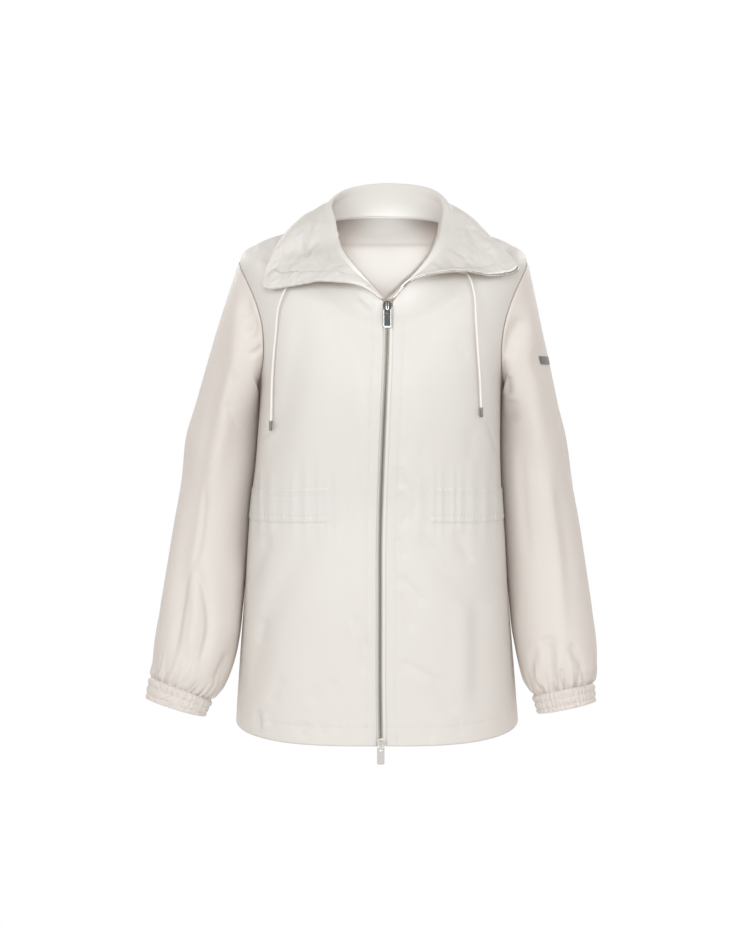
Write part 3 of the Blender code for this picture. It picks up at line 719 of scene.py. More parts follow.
def creaseRise(x, y, creases):
    # each crease: rise in m (a trough is negative), width on the picture's left and right, then its points
    rise = np.zeros(x.shape)
    for height, left, right, *path in creases:
        line = curveThrough(path, np.linspace(0, len(path) - 1, 6 * len(path)))
        reach = 3 * max(left, right)
        low, high = line.min(axis=0) - reach, line.max(axis=0) + reach
        inside = (x > low[0]) & (x < high[0]) & (y > low[1]) & (y < high[1])
        if not inside.any():
            continue
        gap, side, share = lineDistance(x[inside], y[inside], line)
        width = np.where(side > 0, left, right)
        taper = smoothStep(0, 0.3, share + 0.04) * smoothStep(0, 0.3, 1.04 - share)
        rise[inside] += height * taper * np.exp(-(gap / width) ** 2)
    return rise


def pictureCreases(points, normals, creases):
    # creases laid where the picture shows them, on what faces the camera
    x, y = inPicture(points)
    facing = smoothStep(0.05, 0.45, -(normals @ lookAlong))
    return creaseRise(x, y, creases) * facing


def crinkles(x, y, seed, count, box, heading, spread, length, width, rise):
    # many short soft wrinkles in a region, headings in degrees
    draw = np.random.default_rng(seed)
    total = np.zeros(x.shape)
    (lowX, lowY), (highX, highY) = box
    for _ in range(count):
        centreX, centreY = draw.uniform(lowX, highX), draw.uniform(lowY, highY)
        turn = math.radians(heading + draw.normal(0, spread))
        long, thin = length * draw.uniform(0.6, 1.5), width * draw.uniform(0.7, 1.4)
        height = rise * draw.uniform(0.35, 1.0) * draw.choice((-1, -1, 1))
        along = (x - centreX) * math.cos(turn) + (y - centreY) * math.sin(turn)
        over = (y - centreY) * math.cos(turn) - (x - centreX) * math.sin(turn)
        over = over + 0.25 * along * along / long
        total += height * np.exp(-(along / long) ** 2 - (over / thin) ** 2)
    return total


def puckers(length, spacing, seed):
    # uneven bumps along a line of stitching, as (places, heights from -1 to 1)
    draw = np.random.default_rng(seed)
    places = np.linspace(0, length, max(64, int(length / spacing * 12)))
    heights = np.zeros(places.shape)
    spot = 0.0
    while spot < length:
        spot += spacing * draw.uniform(0.6, 1.5)
        height = draw.uniform(0.3, 1.0)
        reach = spacing * draw.uniform(0.22, 0.45)
        heights += height * np.exp(-((places - spot) / reach) ** 2)
    return places, np.clip(heights, 0, 1.2) - 0.35


def puckersAcross(x, spacing, seed):
    # uneven bumps from side to side of the jacket
    wide = 0.5
    places, heights = puckers(wide, spacing, seed)
    return np.interp(x + wide / 2, places, heights)


slackForm = {
    "count": 420,
    "size": 0.034,
    "low": (-0.33, -0.16, -0.72),
    "high": (0.30, 0.14, 0.05),
}


def slack(points, rise):
    # slow unevenness of hanging cloth, in space so that neighbours agree
    f = slackForm
    draw = np.random.default_rng(seeds["slack"])
    total = np.zeros(points.shape[:-1])
    for _ in range(f["count"]):
        centre = draw.uniform(f["low"], f["high"])
        reach = f["size"] * draw.uniform(0.7, 1.5) * np.array((0.7, 0.7, 1.6))
        height = draw.uniform(-1, 1)
        gap = ((points - centre) / reach) ** 2
        total += height * np.exp(-gap.sum(axis=-1))
    return total * rise


# stitching

stitchForm = {
    "length": 0.0024,
    "gap": 0.0009,
    "radius": 0.00028,
    "sides": 5,
    "searched": 40,           # rows or columns from an edge among which a row of stitches is looked for
    "belowNeck": 26,          # rows of the fronts that the stitching beside the zip leaves free
}


def stitchesAlong(points, normals):
    # threads end to end along a line, half sunk into the cloth
    f = stitchForm
    far = lengthsAlong(points)
    starts = np.arange(0.001, far[-1] - f["length"], f["length"] + f["gap"])
    solids = []
    turns = np.linspace(0, 2 * math.pi, f["sides"], endpoint=False)
    faces = gridFaces(3, f["sides"], True, True)[0].tolist()
    faces.append(list(range(f["sides"])))
    faces.append([2 * f["sides"] + k for k in reversed(range(f["sides"]))])

    def at(values, place):
        return np.array([np.interp(place, far, values[:, axis]) for axis in range(3)])

    for start in starts:
        first, last = at(points, start), at(points, start + f["length"])
        out = unit(at(normals, start + f["length"] / 2))
        ahead = unit(last - first)
        side = np.cross(ahead, out)
        ring = np.cos(turns)[:, None] * side + np.sin(turns)[:, None] * out
        middle = (first + last) / 2 + out * f["radius"] * 0.55
        parts = [first - out * f["radius"] + ring * f["radius"] * 0.5, middle + ring * f["radius"],
                 last - out * f["radius"] + ring * f["radius"] * 0.5]
        solids.append((np.concatenate(parts), faces))
    return solids


# drawcords

cordForm = {
    "radius": 0.0017,
    "sides": 20,
    "step": 0.0011,
    "braidDepth": 0.00016,
    "braidPitch": 0.0052,
    "tipRadius": 0.0022,
    "tipLength": 0.0130,
    "tipGap": 0.0003,
    "tipSides": 24,
}
cordRoutes = {
    "right": ((-0.1120, -0.0954, -0.0673), (-0.1130, -0.0994, -0.0652), (-0.1180, -0.1035, -0.0675),
              (-0.1250, -0.1050, -0.0750), (-0.1310, -0.1040, -0.0860), (-0.1365, -0.1010, -0.1010),
              (-0.1395, -0.0985, -0.1180), (-0.1410, -0.0967, -0.1360), (-0.1440, -0.0925, -0.1620),
              (-0.1475, -0.0845, -0.2050), (-0.1495, -0.0810, -0.2570)),
    "left": ((0.1038, -0.0875, -0.0576), (0.1045, -0.0900, -0.0565), (0.1072, -0.0942, -0.0588),
             (0.1115, -0.0998, -0.0645), (0.1152, -0.1052, -0.0755), (0.1185, -0.1085, -0.0925),
             (0.1200, -0.1100, -0.1195), (0.1230, -0.1090, -0.1590), (0.1264, -0.1040, -0.1990),
             (0.1285, -0.0990, -0.2360)),
}
# radius as a share of the tip's, and place along it
tipProfile = ((0.80, 0.0), (0.96, 0.02), (1.0, 0.06), (1.0, 0.50), (1.0, 0.93), (0.95, 0.97), (0.80, 0.99),
              (0.40, 1.0))


def makeCords():
    f = cordForm
    for side, route in cordRoutes.items():
        line = curveThrough(route, np.linspace(0, len(route) - 1, 400))
        points = evenly(line, f["step"])
        far = lengthsAlong(points)[:, None]
        turns = np.linspace(0, 2 * math.pi, f["sides"], endpoint=False)[None, :]
        wind = 2 * math.pi * far / f["braidPitch"]
        braid = np.cos(4 * turns + wind * 2) * np.cos(4 * turns - wind * 2)
        radii = f["radius"] - f["braidDepth"] / 2 + f["braidDepth"] * braid / 2
        mesh = bpy.data.meshes.new("cord_" + side)
        solidPoints, faces = tube(points, radii, f["sides"])
        mesh.from_pydata(solidPoints.tolist(), [], faces)
        grain = mesh.uv_layers.new(name="grain")
        corner = np.zeros(len(mesh.loops), int)
        mesh.loops.foreach_get("vertex_index", corner)
        u = (corner % f["sides"]) / f["sides"] * 2 * math.pi * f["radius"]
        v = far[np.clip(corner // f["sides"], 0, len(points) - 1), 0]
        grain.data.foreach_set("uv", np.stack((u, v), axis=1).ravel())
        cord = addObject("drawcord_" + side, mesh, cordLook)
        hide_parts("cord_" + side)

        heading = unit(points[-1] - points[-3])
        start = points[-1] + heading * f["tipGap"]
        spots = np.array([start + heading * f["tipLength"] * place for _, place in tipProfile])
        radii = [f["tipRadius"] * share for share, _ in tipProfile]
        tip = joinSolids("drawcord_tip_" + side, [tube(spots, radii, f["tipSides"])], rimLook)
        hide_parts("cord_tip_" + side)


makeCords()
print("drawcords made")


# body panels

# rise m, widths px left and right, then points in the picture, px
frontCreases = {
    "right": (
        (-0.0036, 9, 17, (309, 300), (300, 337), (294, 362), (288, 392), (281, 416), (274, 443), (266, 476)),
        (-0.0012, 6, 8, (327, 300), (329, 322), (334, 344)),
        (0.0022, 13, 9, (350, 335), (357, 367), (362, 415), (365, 450), (367, 478)),
        (-0.0016, 3, 3, (358, 294), (366, 301), (374, 309)),
        (0.0012, 3, 3, (354, 299), (362, 306), (370, 314)),
        (-0.0032, 7, 7, (271, 533), (258, 562), (249, 588)),
        (-0.0042, 8, 15, (316, 526), (298, 560), (278, 590), (265, 620), (256, 655), (250, 706)),
        (-0.0020, 5, 6, (263, 618), (258, 644)),
        (-0.0018, 3, 6, (352, 612), (361, 637), (369, 658)),
        (0.0012, 4, 3, (347, 616), (356, 642), (363, 662)),
        (-0.0015, 5, 7, (363, 636), (365, 676)),
        (-0.0020, 4, 7, (282, 674), (275, 690), (268, 704)),
        (-0.0016, 7, 9, (338, 678), (322, 692), (307, 704)),
        (-0.0020, 4, 3, (257, 708), (260, 730)),
        (0.0020, 3, 4, (263, 712), (265, 732)),
        (-0.0014, 5, 5, (302, 720), (303, 740)),
        (-0.0010, 4, 4, (322, 720), (324, 738)),
        (-0.0012, 1.6, 1.6, (257, 441), (266, 434), (276, 424)),
        (0.0012, 4, 4, (259, 447), (268, 440), (277, 431)),
        (-0.0022, 5, 6, (273, 240), (268, 250), (266, 264)),
        (0.0020, 4, 5, (262, 244), (258, 256), (257, 268)),
        (-0.0016, 4, 5, (284, 236), (279, 246)),
    ),
    "left": (
        (0.0016, 6, 6, (464, 290), (449, 307), (435, 322)),
        (-0.0014, 4, 6, (454, 340), (461, 350), (468, 359)),
        (0.0016, 12, 12, (412, 360), (420, 405), (424, 440)),
        (-0.0016, 5, 5, (397, 466), (402, 489)),
        (-0.0018, 4, 6, (398, 488), (404, 504), (406, 516), (401, 529)),
        (-0.0013, 4, 5, (401, 478), (411, 493), (415, 503), (415, 516)),
        (0.0010, 4, 4, (401, 486), (409, 500), (411, 518)),
        (-0.0012, 6, 6, (401, 436), (402, 468)),
        (-0.0010, 5, 5, (421, 441), (423, 478)),
        (-0.0014, 7, 7, (470, 426), (471, 464)),
        (-0.0042, 12, 5, (414, 526), (427, 543), (437, 557), (457, 584), (475, 600), (497, 608)),
        (-0.0022, 7, 4, (455, 530), (464, 548), (473, 565)),
        (-0.0018, 4, 4, (396, 535), (406, 559)),
        (-0.0022, 8, 4, (397, 573), (412, 589), (427, 607)),
        (-0.0022, 6, 4, (400, 590), (407, 612), (415, 634)),
        (-0.0018, 6, 3.5, (398, 660), (420, 671), (442, 682)),
        (0.0008, 7, 6, (402, 668), (420, 679), (438, 690)),
        (-0.0018, 8, 10, (434, 674), (444, 695), (454, 718)),
        (-0.0030, 9, 15, (479, 588), (479, 640), (479, 690), (476, 720)),
        (0.0016, 9, 9, (462, 600), (464, 650), (462, 700)),
        (-0.0016, 6, 6, (478, 320), (482, 370), (486, 412)),
        (-0.0012, 1.6, 1.6, (486, 419), (492, 436), (499, 458)),
        (0.0010, 4, 4, (481, 424), (487, 441), (493, 458)),
        (-0.0020, 5, 5, (501, 244), (506, 254), (509, 266)),
        (0.0018, 5, 4, (512, 248), (516, 258), (517, 270)),
        (-0.0012, 5, 5, (430, 722), (431, 742)),
        (-0.0012, 5, 5, (458, 716), (460, 736)),
    ),
}
# the back, read as x and z in m
backCreases = (
    (-0.0034, 0.012, 0.020, (-0.118, -0.405), (-0.095, -0.470), (-0.070, -0.545), (-0.058, -0.640)),
    (-0.0030, 0.020, 0.012, (0.105, -0.405), (0.088, -0.480), (0.072, -0.560), (0.066, -0.660)),
    (-0.0022, 0.010, 0.010, (-0.030, -0.410), (-0.022, -0.455), (-0.018, -0.500)),
    (-0.0024, 0.009, 0.012, (0.040, -0.408), (0.034, -0.450), (0.020, -0.510)),
    (-0.0030, 0.014, 0.018, (-0.150, -0.150), (-0.120, -0.215), (-0.085, -0.290), (-0.062, -0.345)),
    (-0.0030, 0.018, 0.014, (0.150, -0.150), (0.122, -0.220), (0.090, -0.300), (0.070, -0.345)),
    (-0.0018, 0.014, 0.014, (-0.012, -0.190), (-0.006, -0.260), (-0.010, -0.335)),
    (0.0020, 0.018, 0.018, (0.030, -0.160), (0.036, -0.240), (0.030, -0.330)),
    (-0.0016, 0.030, 0.030, (-0.110, -0.075), (0.000, -0.092), (0.110, -0.075)),
    (-0.0022, 0.010, 0.010, (-0.148, -0.430), (-0.143, -0.520), (-0.146, -0.610)),
    (-0.0022, 0.010, 0.010, (0.134, -0.430), (0.130, -0.520), (0.136, -0.610)),
    (-0.0016, 0.008, 0.010, (0.012, -0.600), (0.018, -0.640), (0.016, -0.685)),
)
panelForm = {
    "rowSpacing": 0.0026,
    "frontColumns": 88,
    "backColumns": 120,
    "hemHeight": 0.026,       # hem stitching above the edge
    "hemPucker": 0.0011,
    "hemPuckerStep": 0.011,
    "hemPuckerReach": 0.006,
    "hemGroove": (0.0005, 0.0014),   # depth and width
    "zipStitch": 0.0130,      # topstitching beside the front edge
    "zipPucker": 0.0007,
    "zipPuckerStep": 0.012,
    "zipPuckerReach": 0.004,
    "zipGroove": (0.0004, 0.0012),
    "zipCrowding": 1.08,      # columns lie closer together towards the zip
    "backCoarser": 1.35,
    "neckCalm": 1.2,          # levels over which the back's creases fade towards the neck
    "edgeCalm": 0.012,        # creases fade this close to the front edge
    "slackRise": 0.0008,
    "backShare": 1.5,         # how strongly the back's creases stand out
}
casingForm = {
    "low": 3.60,              # levels on the body
    "high": 4.52,
    "start": 0.25,            # share of the quarter round, beside the zip
    "fall": 0.44,             # levels, from the zip to the side seams and across the back
    "endSink": 0.0013,        # its end and its long edges die into the body
    "lift": 0.0008,
    "border": 0.0003,         # its borders stand this far out of the body
    "wall": 0.0008,
    "gatherRise": 0.0014,     # folds that the drawn-in waist throws above and below itself
    "gatherReach": 0.40,      # levels
    "gatherStep": 0.013,
    "gatherStart": (0.014, 0.055),   # m from the zip, where the folds begin and are full
    "endReach": 0.12,         # share of the quarter round over which its end rises
}


def panelLevels(spacing):
    line = bodyPoint(np.linspace(0, neckRing, 400), 0.55, "left", "front")
    far = lengthsAlong(line)
    count = round(far[-1] / spacing)
    return np.interp(np.linspace(0, far[-1], count + 1), far, np.linspace(0, neckRing, 400))


def casingFall(around, which):
    return casingForm["fall"] * (1 - np.cos(around * math.pi / 2) if which != "back" else 1 + 0 * around)


def waistGathers(level, points, which, around):
    # upright folds that start at the casing's stitching and die out above and below it
    f = casingForm
    level = level + casingFall(around, which)
    bump = puckersAcross(points[..., 0], f["gatherStep"], seeds["waistGathers"][which])
    away = np.maximum(np.maximum(f["low"] - level, level - f["high"]), 0)
    start = 1.0
    if which != "back":
        start = smoothStep(*f["gatherStart"], np.abs(points[..., 0] - bodyForm["zipShift"]))
    return f["gatherRise"] * bump * np.exp(-(away / f["gatherReach"]) ** 2) * start


def frontRise(level, side, points, normals, around):
    # how far the front stands out of its smooth form
    f = panelForm
    rise = pictureCreases(points, normals, frontCreases[side])
    rise = rise + slack(points, f["slackRise"])
    fromEdge = np.abs(points[..., 0] - points[..., :1, 0])
    rise = rise * smoothStep(0, f["edgeCalm"], fromEdge)
    places, heights = puckers(0.7, f["zipPuckerStep"], seeds["zipPuckers"][side])
    bump = np.interp(-points[..., 2], places, heights)
    fromStitch = fromEdge - f["zipStitch"]
    depth, width = f["zipGroove"]
    rise = rise + f["zipPucker"] * bump * np.exp(-(fromStitch / f["zipPuckerReach"]) ** 2)
    rise = rise - depth * np.exp(-(fromStitch / width) ** 2)
    rise = rise + waistGathers(level, points, side, around)
    return rise + hemRise(points, seeds["hem"][side])


def hemRise(points, seed):
    f = panelForm
    fromStitch = points[..., 2] - points[:1, :, 2] - f["hemHeight"]
    bump = puckersAcross(points[..., 0], f["hemPuckerStep"], seed)
    depth, width = f["hemGroove"]
    line = np.exp(-(fromStitch / f["hemPuckerReach"]) ** 2)
    return f["hemPucker"] * bump * line - depth * np.exp(-(fromStitch / width) ** 2)


def backForm(levels, around, shares):
    # shares run from -1 at the right side seam to 1 at the left one
    return np.where((shares >= 0)[..., None], bodyPoint(levels, around, "left", "back"),
                    bodyPoint(levels, around, "right", "back"))


def backRise(levels, points, normals, around):
    # how far the back stands out of its smooth form, apart from its hem
    f = panelForm
    facing = smoothStep(0.05, 0.5, normals[..., 1])
    rise = creaseRise(points[..., 0], points[..., 2], backCreases) * facing * f["backShare"]
    return rise + slack(points, f["slackRise"]) + waistGathers(levels, points, "back", around)


def makeFronts():
    f = panelForm
    levels = panelLevels(f["rowSpacing"])[:, None]
    shares = (np.linspace(0, 1, f["frontColumns"] + 1) ** f["zipCrowding"])[None, :]
    made = {}
    for side in sideSign:
        around = shares * panelEnd(levels, "front")
        smooth = bodyPoint(levels, around, side, "front")
        flip = side == "right"
        normals = gridNormals(smooth, flip)
        rise = frontRise(levels, side, smooth, normals, around)
        rise = rise * smoothStep(0, bodyForm["seamCalm"], 1 - shares)
        made[side] = layCloth("panel_front_" + side, "front_" + side, smooth, normals, rise, clothLook,
                              bodyForm["wall"], flip)
    return made


def makeBack():
    f = panelForm
    levels = panelLevels(f["rowSpacing"] * f["backCoarser"])[:, None]
    shares = np.linspace(-1, 1, f["backColumns"] + 1)[None, :]
    around = np.abs(shares) * panelEnd(levels, "back")
    smooth = backForm(levels, around, shares)
    normals = gridNormals(smooth, True)
    rise = backRise(levels, smooth, normals, around) + hemRise(smooth, seeds["hem"]["back"])
    rise = rise * smoothStep(neckRing, neckRing - f["neckCalm"], levels)
    rise = rise * smoothStep(0, bodyForm["seamCalm"], 1 - np.abs(shares))
    return layCloth("panel_back", "back", smooth, normals, rise, clothLook, bodyForm["wall"], True)


fronts = makeFronts()
backPanel = makeBack()
print("body panels made")


# waist casing: a ruched band laid on the body

ruchForm = {
    "columns": 170,
    "backColumns": 230,
    "rows": 40,
    "ripples": 48,
    "rippleLengths": (0.0040, 0.0060),   # m
    "lean": 9,                           # degrees either way from upright
    "rippleRise": 0.00016,
    "rippleReach": 0.20,                 # share of the height over which ripples die away from the lower row
    "strengthStep": 0.022,               # m between stronger and weaker places
    "seamPucker": 0.0005,
    "seamPuckerStep": 0.0042,
    "seamGroove": 0.0005,
    "seams": (0.24, 0.76),               # lower and upper drawn-in row, shares of the height
    "puckerReach": (0.07, 0.06),         # shares of the height on either side of each row
    "puckerShare": (1.0, 0.4),           # strength on each row
    "grooveReach": (0.03, 0.025),
    "grooveShare": (1.0, 0.6),
    "border": 0.10,                      # share of the height over which its long edges sink
    "stitchRows": (0.12, 0.88),
}


def ruching(x, z, seed):
    # uneven upright ripples: many waves of mixed length and lean, stronger in some places than in others
    f = ruchForm
    draw = np.random.default_rng(seed)
    shortest, longest = f["rippleLengths"]
    ripples = 0 * x
    for _ in range(f["ripples"]):
        length = draw.uniform(shortest, longest)
        lean = math.radians(draw.normal(0, f["lean"]))
        ripples = ripples + np.cos(2 * math.pi / length * (x * math.cos(lean) + z * math.sin(lean))
                                   + draw.uniform(0, 2 * math.pi))
    strength = 0.75 + 0.5 * puckersAcross(x, f["strengthStep"], seed + 3)
    return f["rippleRise"] * math.sqrt(2 / f["ripples"]) * ripples * strength


def borders(share):
    edge = ruchForm["border"]
    return smoothStep(0, edge, share) * smoothStep(0, edge, 1 - share)


def alongSeams(share, reaches, strengths):
    # full on the two stitched rows, fading away from them
    return sum(strength * np.exp(-((share - row) / reach) ** 2)
               for row, reach, strength in zip(ruchForm["seams"], reaches, strengths))


def casingRise(x, z, share, seed):
    f = ruchForm
    rise = ruching(x, z, seed) * np.exp(-((share - f["seams"][0]) / f["rippleReach"]) ** 2)
    bump = puckersAcross(x, f["seamPuckerStep"], seed + 2)
    puckered = alongSeams(share, f["puckerReach"], f["puckerShare"])
    grooves = alongSeams(share, f["grooveReach"], f["grooveShare"])
    return rise + f["seamPucker"] * bump * puckered - f["seamGroove"] * grooves


def layCasing(name, share, smooth, normals, under, around, opened, flip):
    # opened is 0 where an end dies into the body
    c = casingForm
    under = under * smoothStep(0, bodyForm["seamCalm"], 1 - around)
    rise = casingRise(smooth[..., 0], smooth[..., 2], share, seeds["casing"][name])
    sink = np.maximum(c["endSink"] * (1 - borders(share)), c["endSink"] * (1 - opened))
    lift = c["border"] - sink + (rise + c["lift"]) * opened * borders(share)
    return layCloth("casing_" + name, "waist_casing_" + name, smooth, normals, under + lift, clothLook,
                    c["wall"], flip)


def makeCasings():
    f, c = ruchForm, casingForm
    made = {}
    straight = np.linspace(c["low"], c["high"], f["rows"])[:, None]
    share = (straight - c["low"]) / (c["high"] - c["low"])
    end = 1 - bodyForm["sideTrim"]
    around = np.linspace(c["start"], end, f["columns"])[None, :] + 0 * straight
    opened = smoothStep(c["start"], c["start"] + c["endReach"], around)
    for side in sideSign:
        levels = straight - casingFall(around, side)
        smooth = bodyPoint(levels, around, side, "front")
        flip = side == "right"
        normals = gridNormals(smooth, flip)
        under = pictureCreases(smooth, normals, frontCreases[side]) + slack(smooth, panelForm["slackRise"])
        under = under + waistGathers(levels, smooth, side, around)
        name = "front_" + side
        made[name] = layCasing(name, share, smooth, normals, under, around, opened, flip)
    shares = np.linspace(-1, 1, f["backColumns"])[None, :] * end
    around = np.abs(shares) + 0 * straight
    levels = straight - casingFall(around, "back")
    smooth = backForm(levels, around, shares)
    normals = gridNormals(smooth, True)
    under = backRise(levels, smooth, normals, around)
    made["back"] = layCasing("back", share, smooth, normals, under, around, 1.0, True)
    return made


casings = makeCasings()
print("waist casing made")


# sleeves and cuffs

sleeveCreases = {
    "right": (
        (0.0036, 9, 9, (243, 266), (238, 290), (237, 330), (234, 370), (226, 402), (222, 432), (215, 470),
         (211, 505)),
        (-0.0030, 12, 10, (228, 296), (221, 340), (214, 380), (206, 420), (199, 460), (194, 490), (188, 530),
         (181, 568), (173, 620), (166, 658)),
        (0.0018, 6, 6, (183, 474), (176, 530), (170, 580), (164, 626)),
        (-0.0022, 3, 4, (206, 484), (203, 515), (199, 545), (192, 569)),
        (-0.0030, 2.5, 6, (190, 567), (199, 577), (205, 598), (208, 620), (206, 640), (198, 668)),
        (-0.0026, 6, 2.5, (191, 567), (186, 582), (183, 602), (179, 628), (174, 660)),
        (0.0026, 6, 6, (194, 582), (195, 610), (192, 635), (188, 660)),
        (-0.0032, 4, 5, (230, 650), (223, 667), (214, 685)),
        (-0.0034, 5, 5, (264, 314), (255, 326), (249, 340)),
        (-0.0026, 3, 3, (265, 344), (257, 351), (248, 355)),
        (-0.0022, 6, 6, (259, 295), (250, 305), (244, 318)),
        (-0.0016, 4, 5, (236, 366), (232, 392), (229, 418)),
        (-0.0011, 3, 3, (225, 400), (231, 415), (238, 430)),
        (0.0022, 9, 8, (240, 548), (238, 600), (232, 645)),
    ),
    "left": (
        (-0.0042, 7, 8, (525, 314), (513, 336), (505, 362)),
        (-0.0030, 5, 6, (506, 374), (506, 398)),
        (-0.0020, 8, 9, (510, 398), (511, 426)),
        (0.0030, 9, 10, (527, 296), (530, 340), (534, 390), (537, 430), (541, 474)),
        (0.0026, 11, 6, (547, 460), (551, 507), (557, 552), (562, 610), (567, 644)),
        (-0.0042, 7, 7, (549, 634), (549, 655), (549, 672), (548, 694)),
        (-0.0010, 2, 2, (537, 645), (543, 640), (549, 638), (557, 641)),
        (-0.0032, 5, 4, (570, 642), (577, 655), (588, 672)),
        (-0.0026, 3, 3, (562, 668), (562, 688)),
        (-0.0020, 4, 4, (534, 646), (530, 680)),
        (-0.0016, 8, 8, (559, 474), (566, 530), (573, 592)),
        (-0.0014, 6, 6, (520, 440), (523, 500), (528, 560)),
    ),
}
# the hidden sides of the sleeves, read as y and z in m: outer side, then back
sleeveSideCreases = (
    (-0.0030, 0.010, 0.014, (-0.010, -0.200), (0.004, -0.290), (0.010, -0.380)),
    (-0.0032, 0.012, 0.010, (0.034, -0.330), (0.016, -0.430), (-0.008, -0.520), (-0.030, -0.600)),
    (0.0026, 0.014, 0.014, (0.020, -0.250), (0.030, -0.360), (0.022, -0.460)),
    (-0.0030, 0.008, 0.008, (-0.030, -0.520), (-0.050, -0.580), (-0.062, -0.620)),
    (-0.0024, 0.009, 0.007, (0.050, -0.440), (0.030, -0.500), (0.008, -0.560)),
)
sleeveBackCreases = (
    (-0.0032, 0.012, 0.010, (0.170, -0.200), (0.200, -0.270), (0.222, -0.350), (0.230, -0.420)),
    (-0.0036, 0.010, 0.010, (0.190, -0.430), (0.215, -0.450), (0.245, -0.455), (0.272, -0.446)),
    (-0.0028, 0.008, 0.009, (0.200, -0.475), (0.228, -0.490), (0.262, -0.486)),
    (0.0024, 0.014, 0.014, (0.235, -0.300), (0.246, -0.380), (0.252, -0.430)),
    (-0.0030, 0.009, 0.009, (0.236, -0.520), (0.246, -0.570), (0.262, -0.615)),
    (-0.0026, 0.008, 0.008, (0.268, -0.530), (0.276, -0.580), (0.284, -0.620)),
)
sleeveShape = {
    "columns": 150,
    "rowSpacing": 0.0027,
    "first": 0.002,
    "cuffSeam": 6.985,
    "last": 7.12,             # the cloth runs on inside the cuff
    "seamLift": 0.0005,       # the sleeve's edge stands this far out of the armhole
    "seamRoll": 0.0010,       # and its cloth rolls this much more beside the seam
    "seamRollAt": (0.004, 0.0035),   # place and width of that roll
    "bodyGap": 0.0018,        # between the sections and the body where the sleeve lies against it
    "contact": (-0.548, -0.213),     # heights between which it lies there
    "contactFade": (0.035, 0.02),    # and how gently that begins below and above
    "seamReach": 0.012,       # m from the armhole over which the sleeve rises to its full thickness
    "seamCalm": 0.014,        # and its creases begin
    "gatherCount": 46,
    "gatherRise": 0.0044,
    "gatherWidths": (0.030, 0.070),  # radians round the sleeve
    "gatherReaches": (0.010, 0.014, 0.020, 0.034, 0.055),
    "gatherEnd": 0.06,        # m from the cuff
    "creaseShare": 1.4,       # how strongly the creases above stand out
    "notchCount": 26,         # sharp folds between the pleats
    "notchDepth": 0.0060,
    "notchStarts": (0.005, 0.011),
    "notchReaches": (0.007, 0.010, 0.016),
    "notchWidths": (0.034, 0.050),
    "endRoll": 0.0040,        # the edge rolls in under the cuff's
    "endRollReach": 0.005,
    "slackRise": 0.0009,
    "badgeSpot": (545, 360),  # px, where the sleeve stays flat under the plate
    "badgeCalm": 16,          # px
    "badgeSeat": 0.0002,      # and this far in
}
cuffShape = {
    "columns": 360,
    "rows": 28,
    "first": 6.94,            # its top edge meets the sleeve where that rolls in
    "ribs": 84,
    "ribRise": 0.0014,
    "ribWidths": (0.018, 0.032),     # radians
    "flat": (0.250, 0.032),          # m round and high, on which the crumples are laid out
    "crumples": 420,
    "crumpleRise": 0.0008,
    "crumpleSize": (0.0035, 0.0011),
    "stitchRows": (0.36, 0.70),
    "puff": 0.0010,
    "outside": 0.0016,
    "topSink": 0.0012,
    "topReach": 0.12,
    "wall": 0.0014,
}


def sleevePlaces(side):
    f = sleeveShape
    line = sleevePoint(side, np.linspace(f["first"], f["last"], 300), math.pi * 0.75)
    far = lengthsAlong(line)
    count = round(far[-1] / f["rowSpacing"])
    return np.interp(np.linspace(0, far[-1], count + 1), far, np.linspace(f["first"], f["last"], 300))


def turnGap(turns, spot):
    # how far round from a spot, from -pi to pi
    return (turns - spot + math.pi) % (2 * math.pi) - math.pi


def gathers(turns, fromCuff, seed):
    # pleats that start at the cuff and die out up the sleeve
    f = sleeveShape
    draw = np.random.default_rng(seed)
    rise = np.zeros(np.broadcast(turns, fromCuff).shape)
    for k in range(f["gatherCount"]):
        spot = (k + draw.uniform(-0.4, 0.4)) / f["gatherCount"] * 2 * math.pi
        width = draw.uniform(*f["gatherWidths"])
        reach = draw.choice(f["gatherReaches"])
        gap = turnGap(turns, spot) + draw.uniform(-2.5, 2.5) * fromCuff
        rise += draw.uniform(0.4, 1.0) * np.exp(-(gap / width) ** 2) * np.exp(-(fromCuff / reach) ** 1.5)
    rise = f["gatherRise"] * (rise - 0.45) * np.exp(-(fromCuff / f["gatherEnd"]) ** 2)
    for k in range(f["notchCount"]):
        spot = (k + draw.uniform(-0.45, 0.45)) / f["notchCount"] * 2 * math.pi
        gap = turnGap(turns, spot) + draw.uniform(-4.0, 4.0) * fromCuff
        start = draw.uniform(*f["notchStarts"])
        span = np.exp(-((fromCuff - start) / draw.choice(f["notchReaches"])) ** 2)
        depth = f["notchDepth"] * draw.uniform(0.4, 1.0)
        rise -= depth * np.exp(-(gap / draw.uniform(*f["notchWidths"])) ** 2) * span
    return rise - f["endRoll"] * np.exp(-(fromCuff / f["endRollReach"]) ** 2)


def hiddenCreases(side, points, normals):
    sign = sideSign[side]
    outer = smoothStep(0.35, 0.75, normals[..., 0] * sign) * smoothStep(-0.75, -0.2, normals[..., 1])
    behind = smoothStep(0.15, 0.6, normals[..., 1])
    return (creaseRise(points[..., 1], points[..., 2], sleeveSideCreases) * outer
            + creaseRise(points[..., 0] * sign, points[..., 2], sleeveBackCreases) * behind)


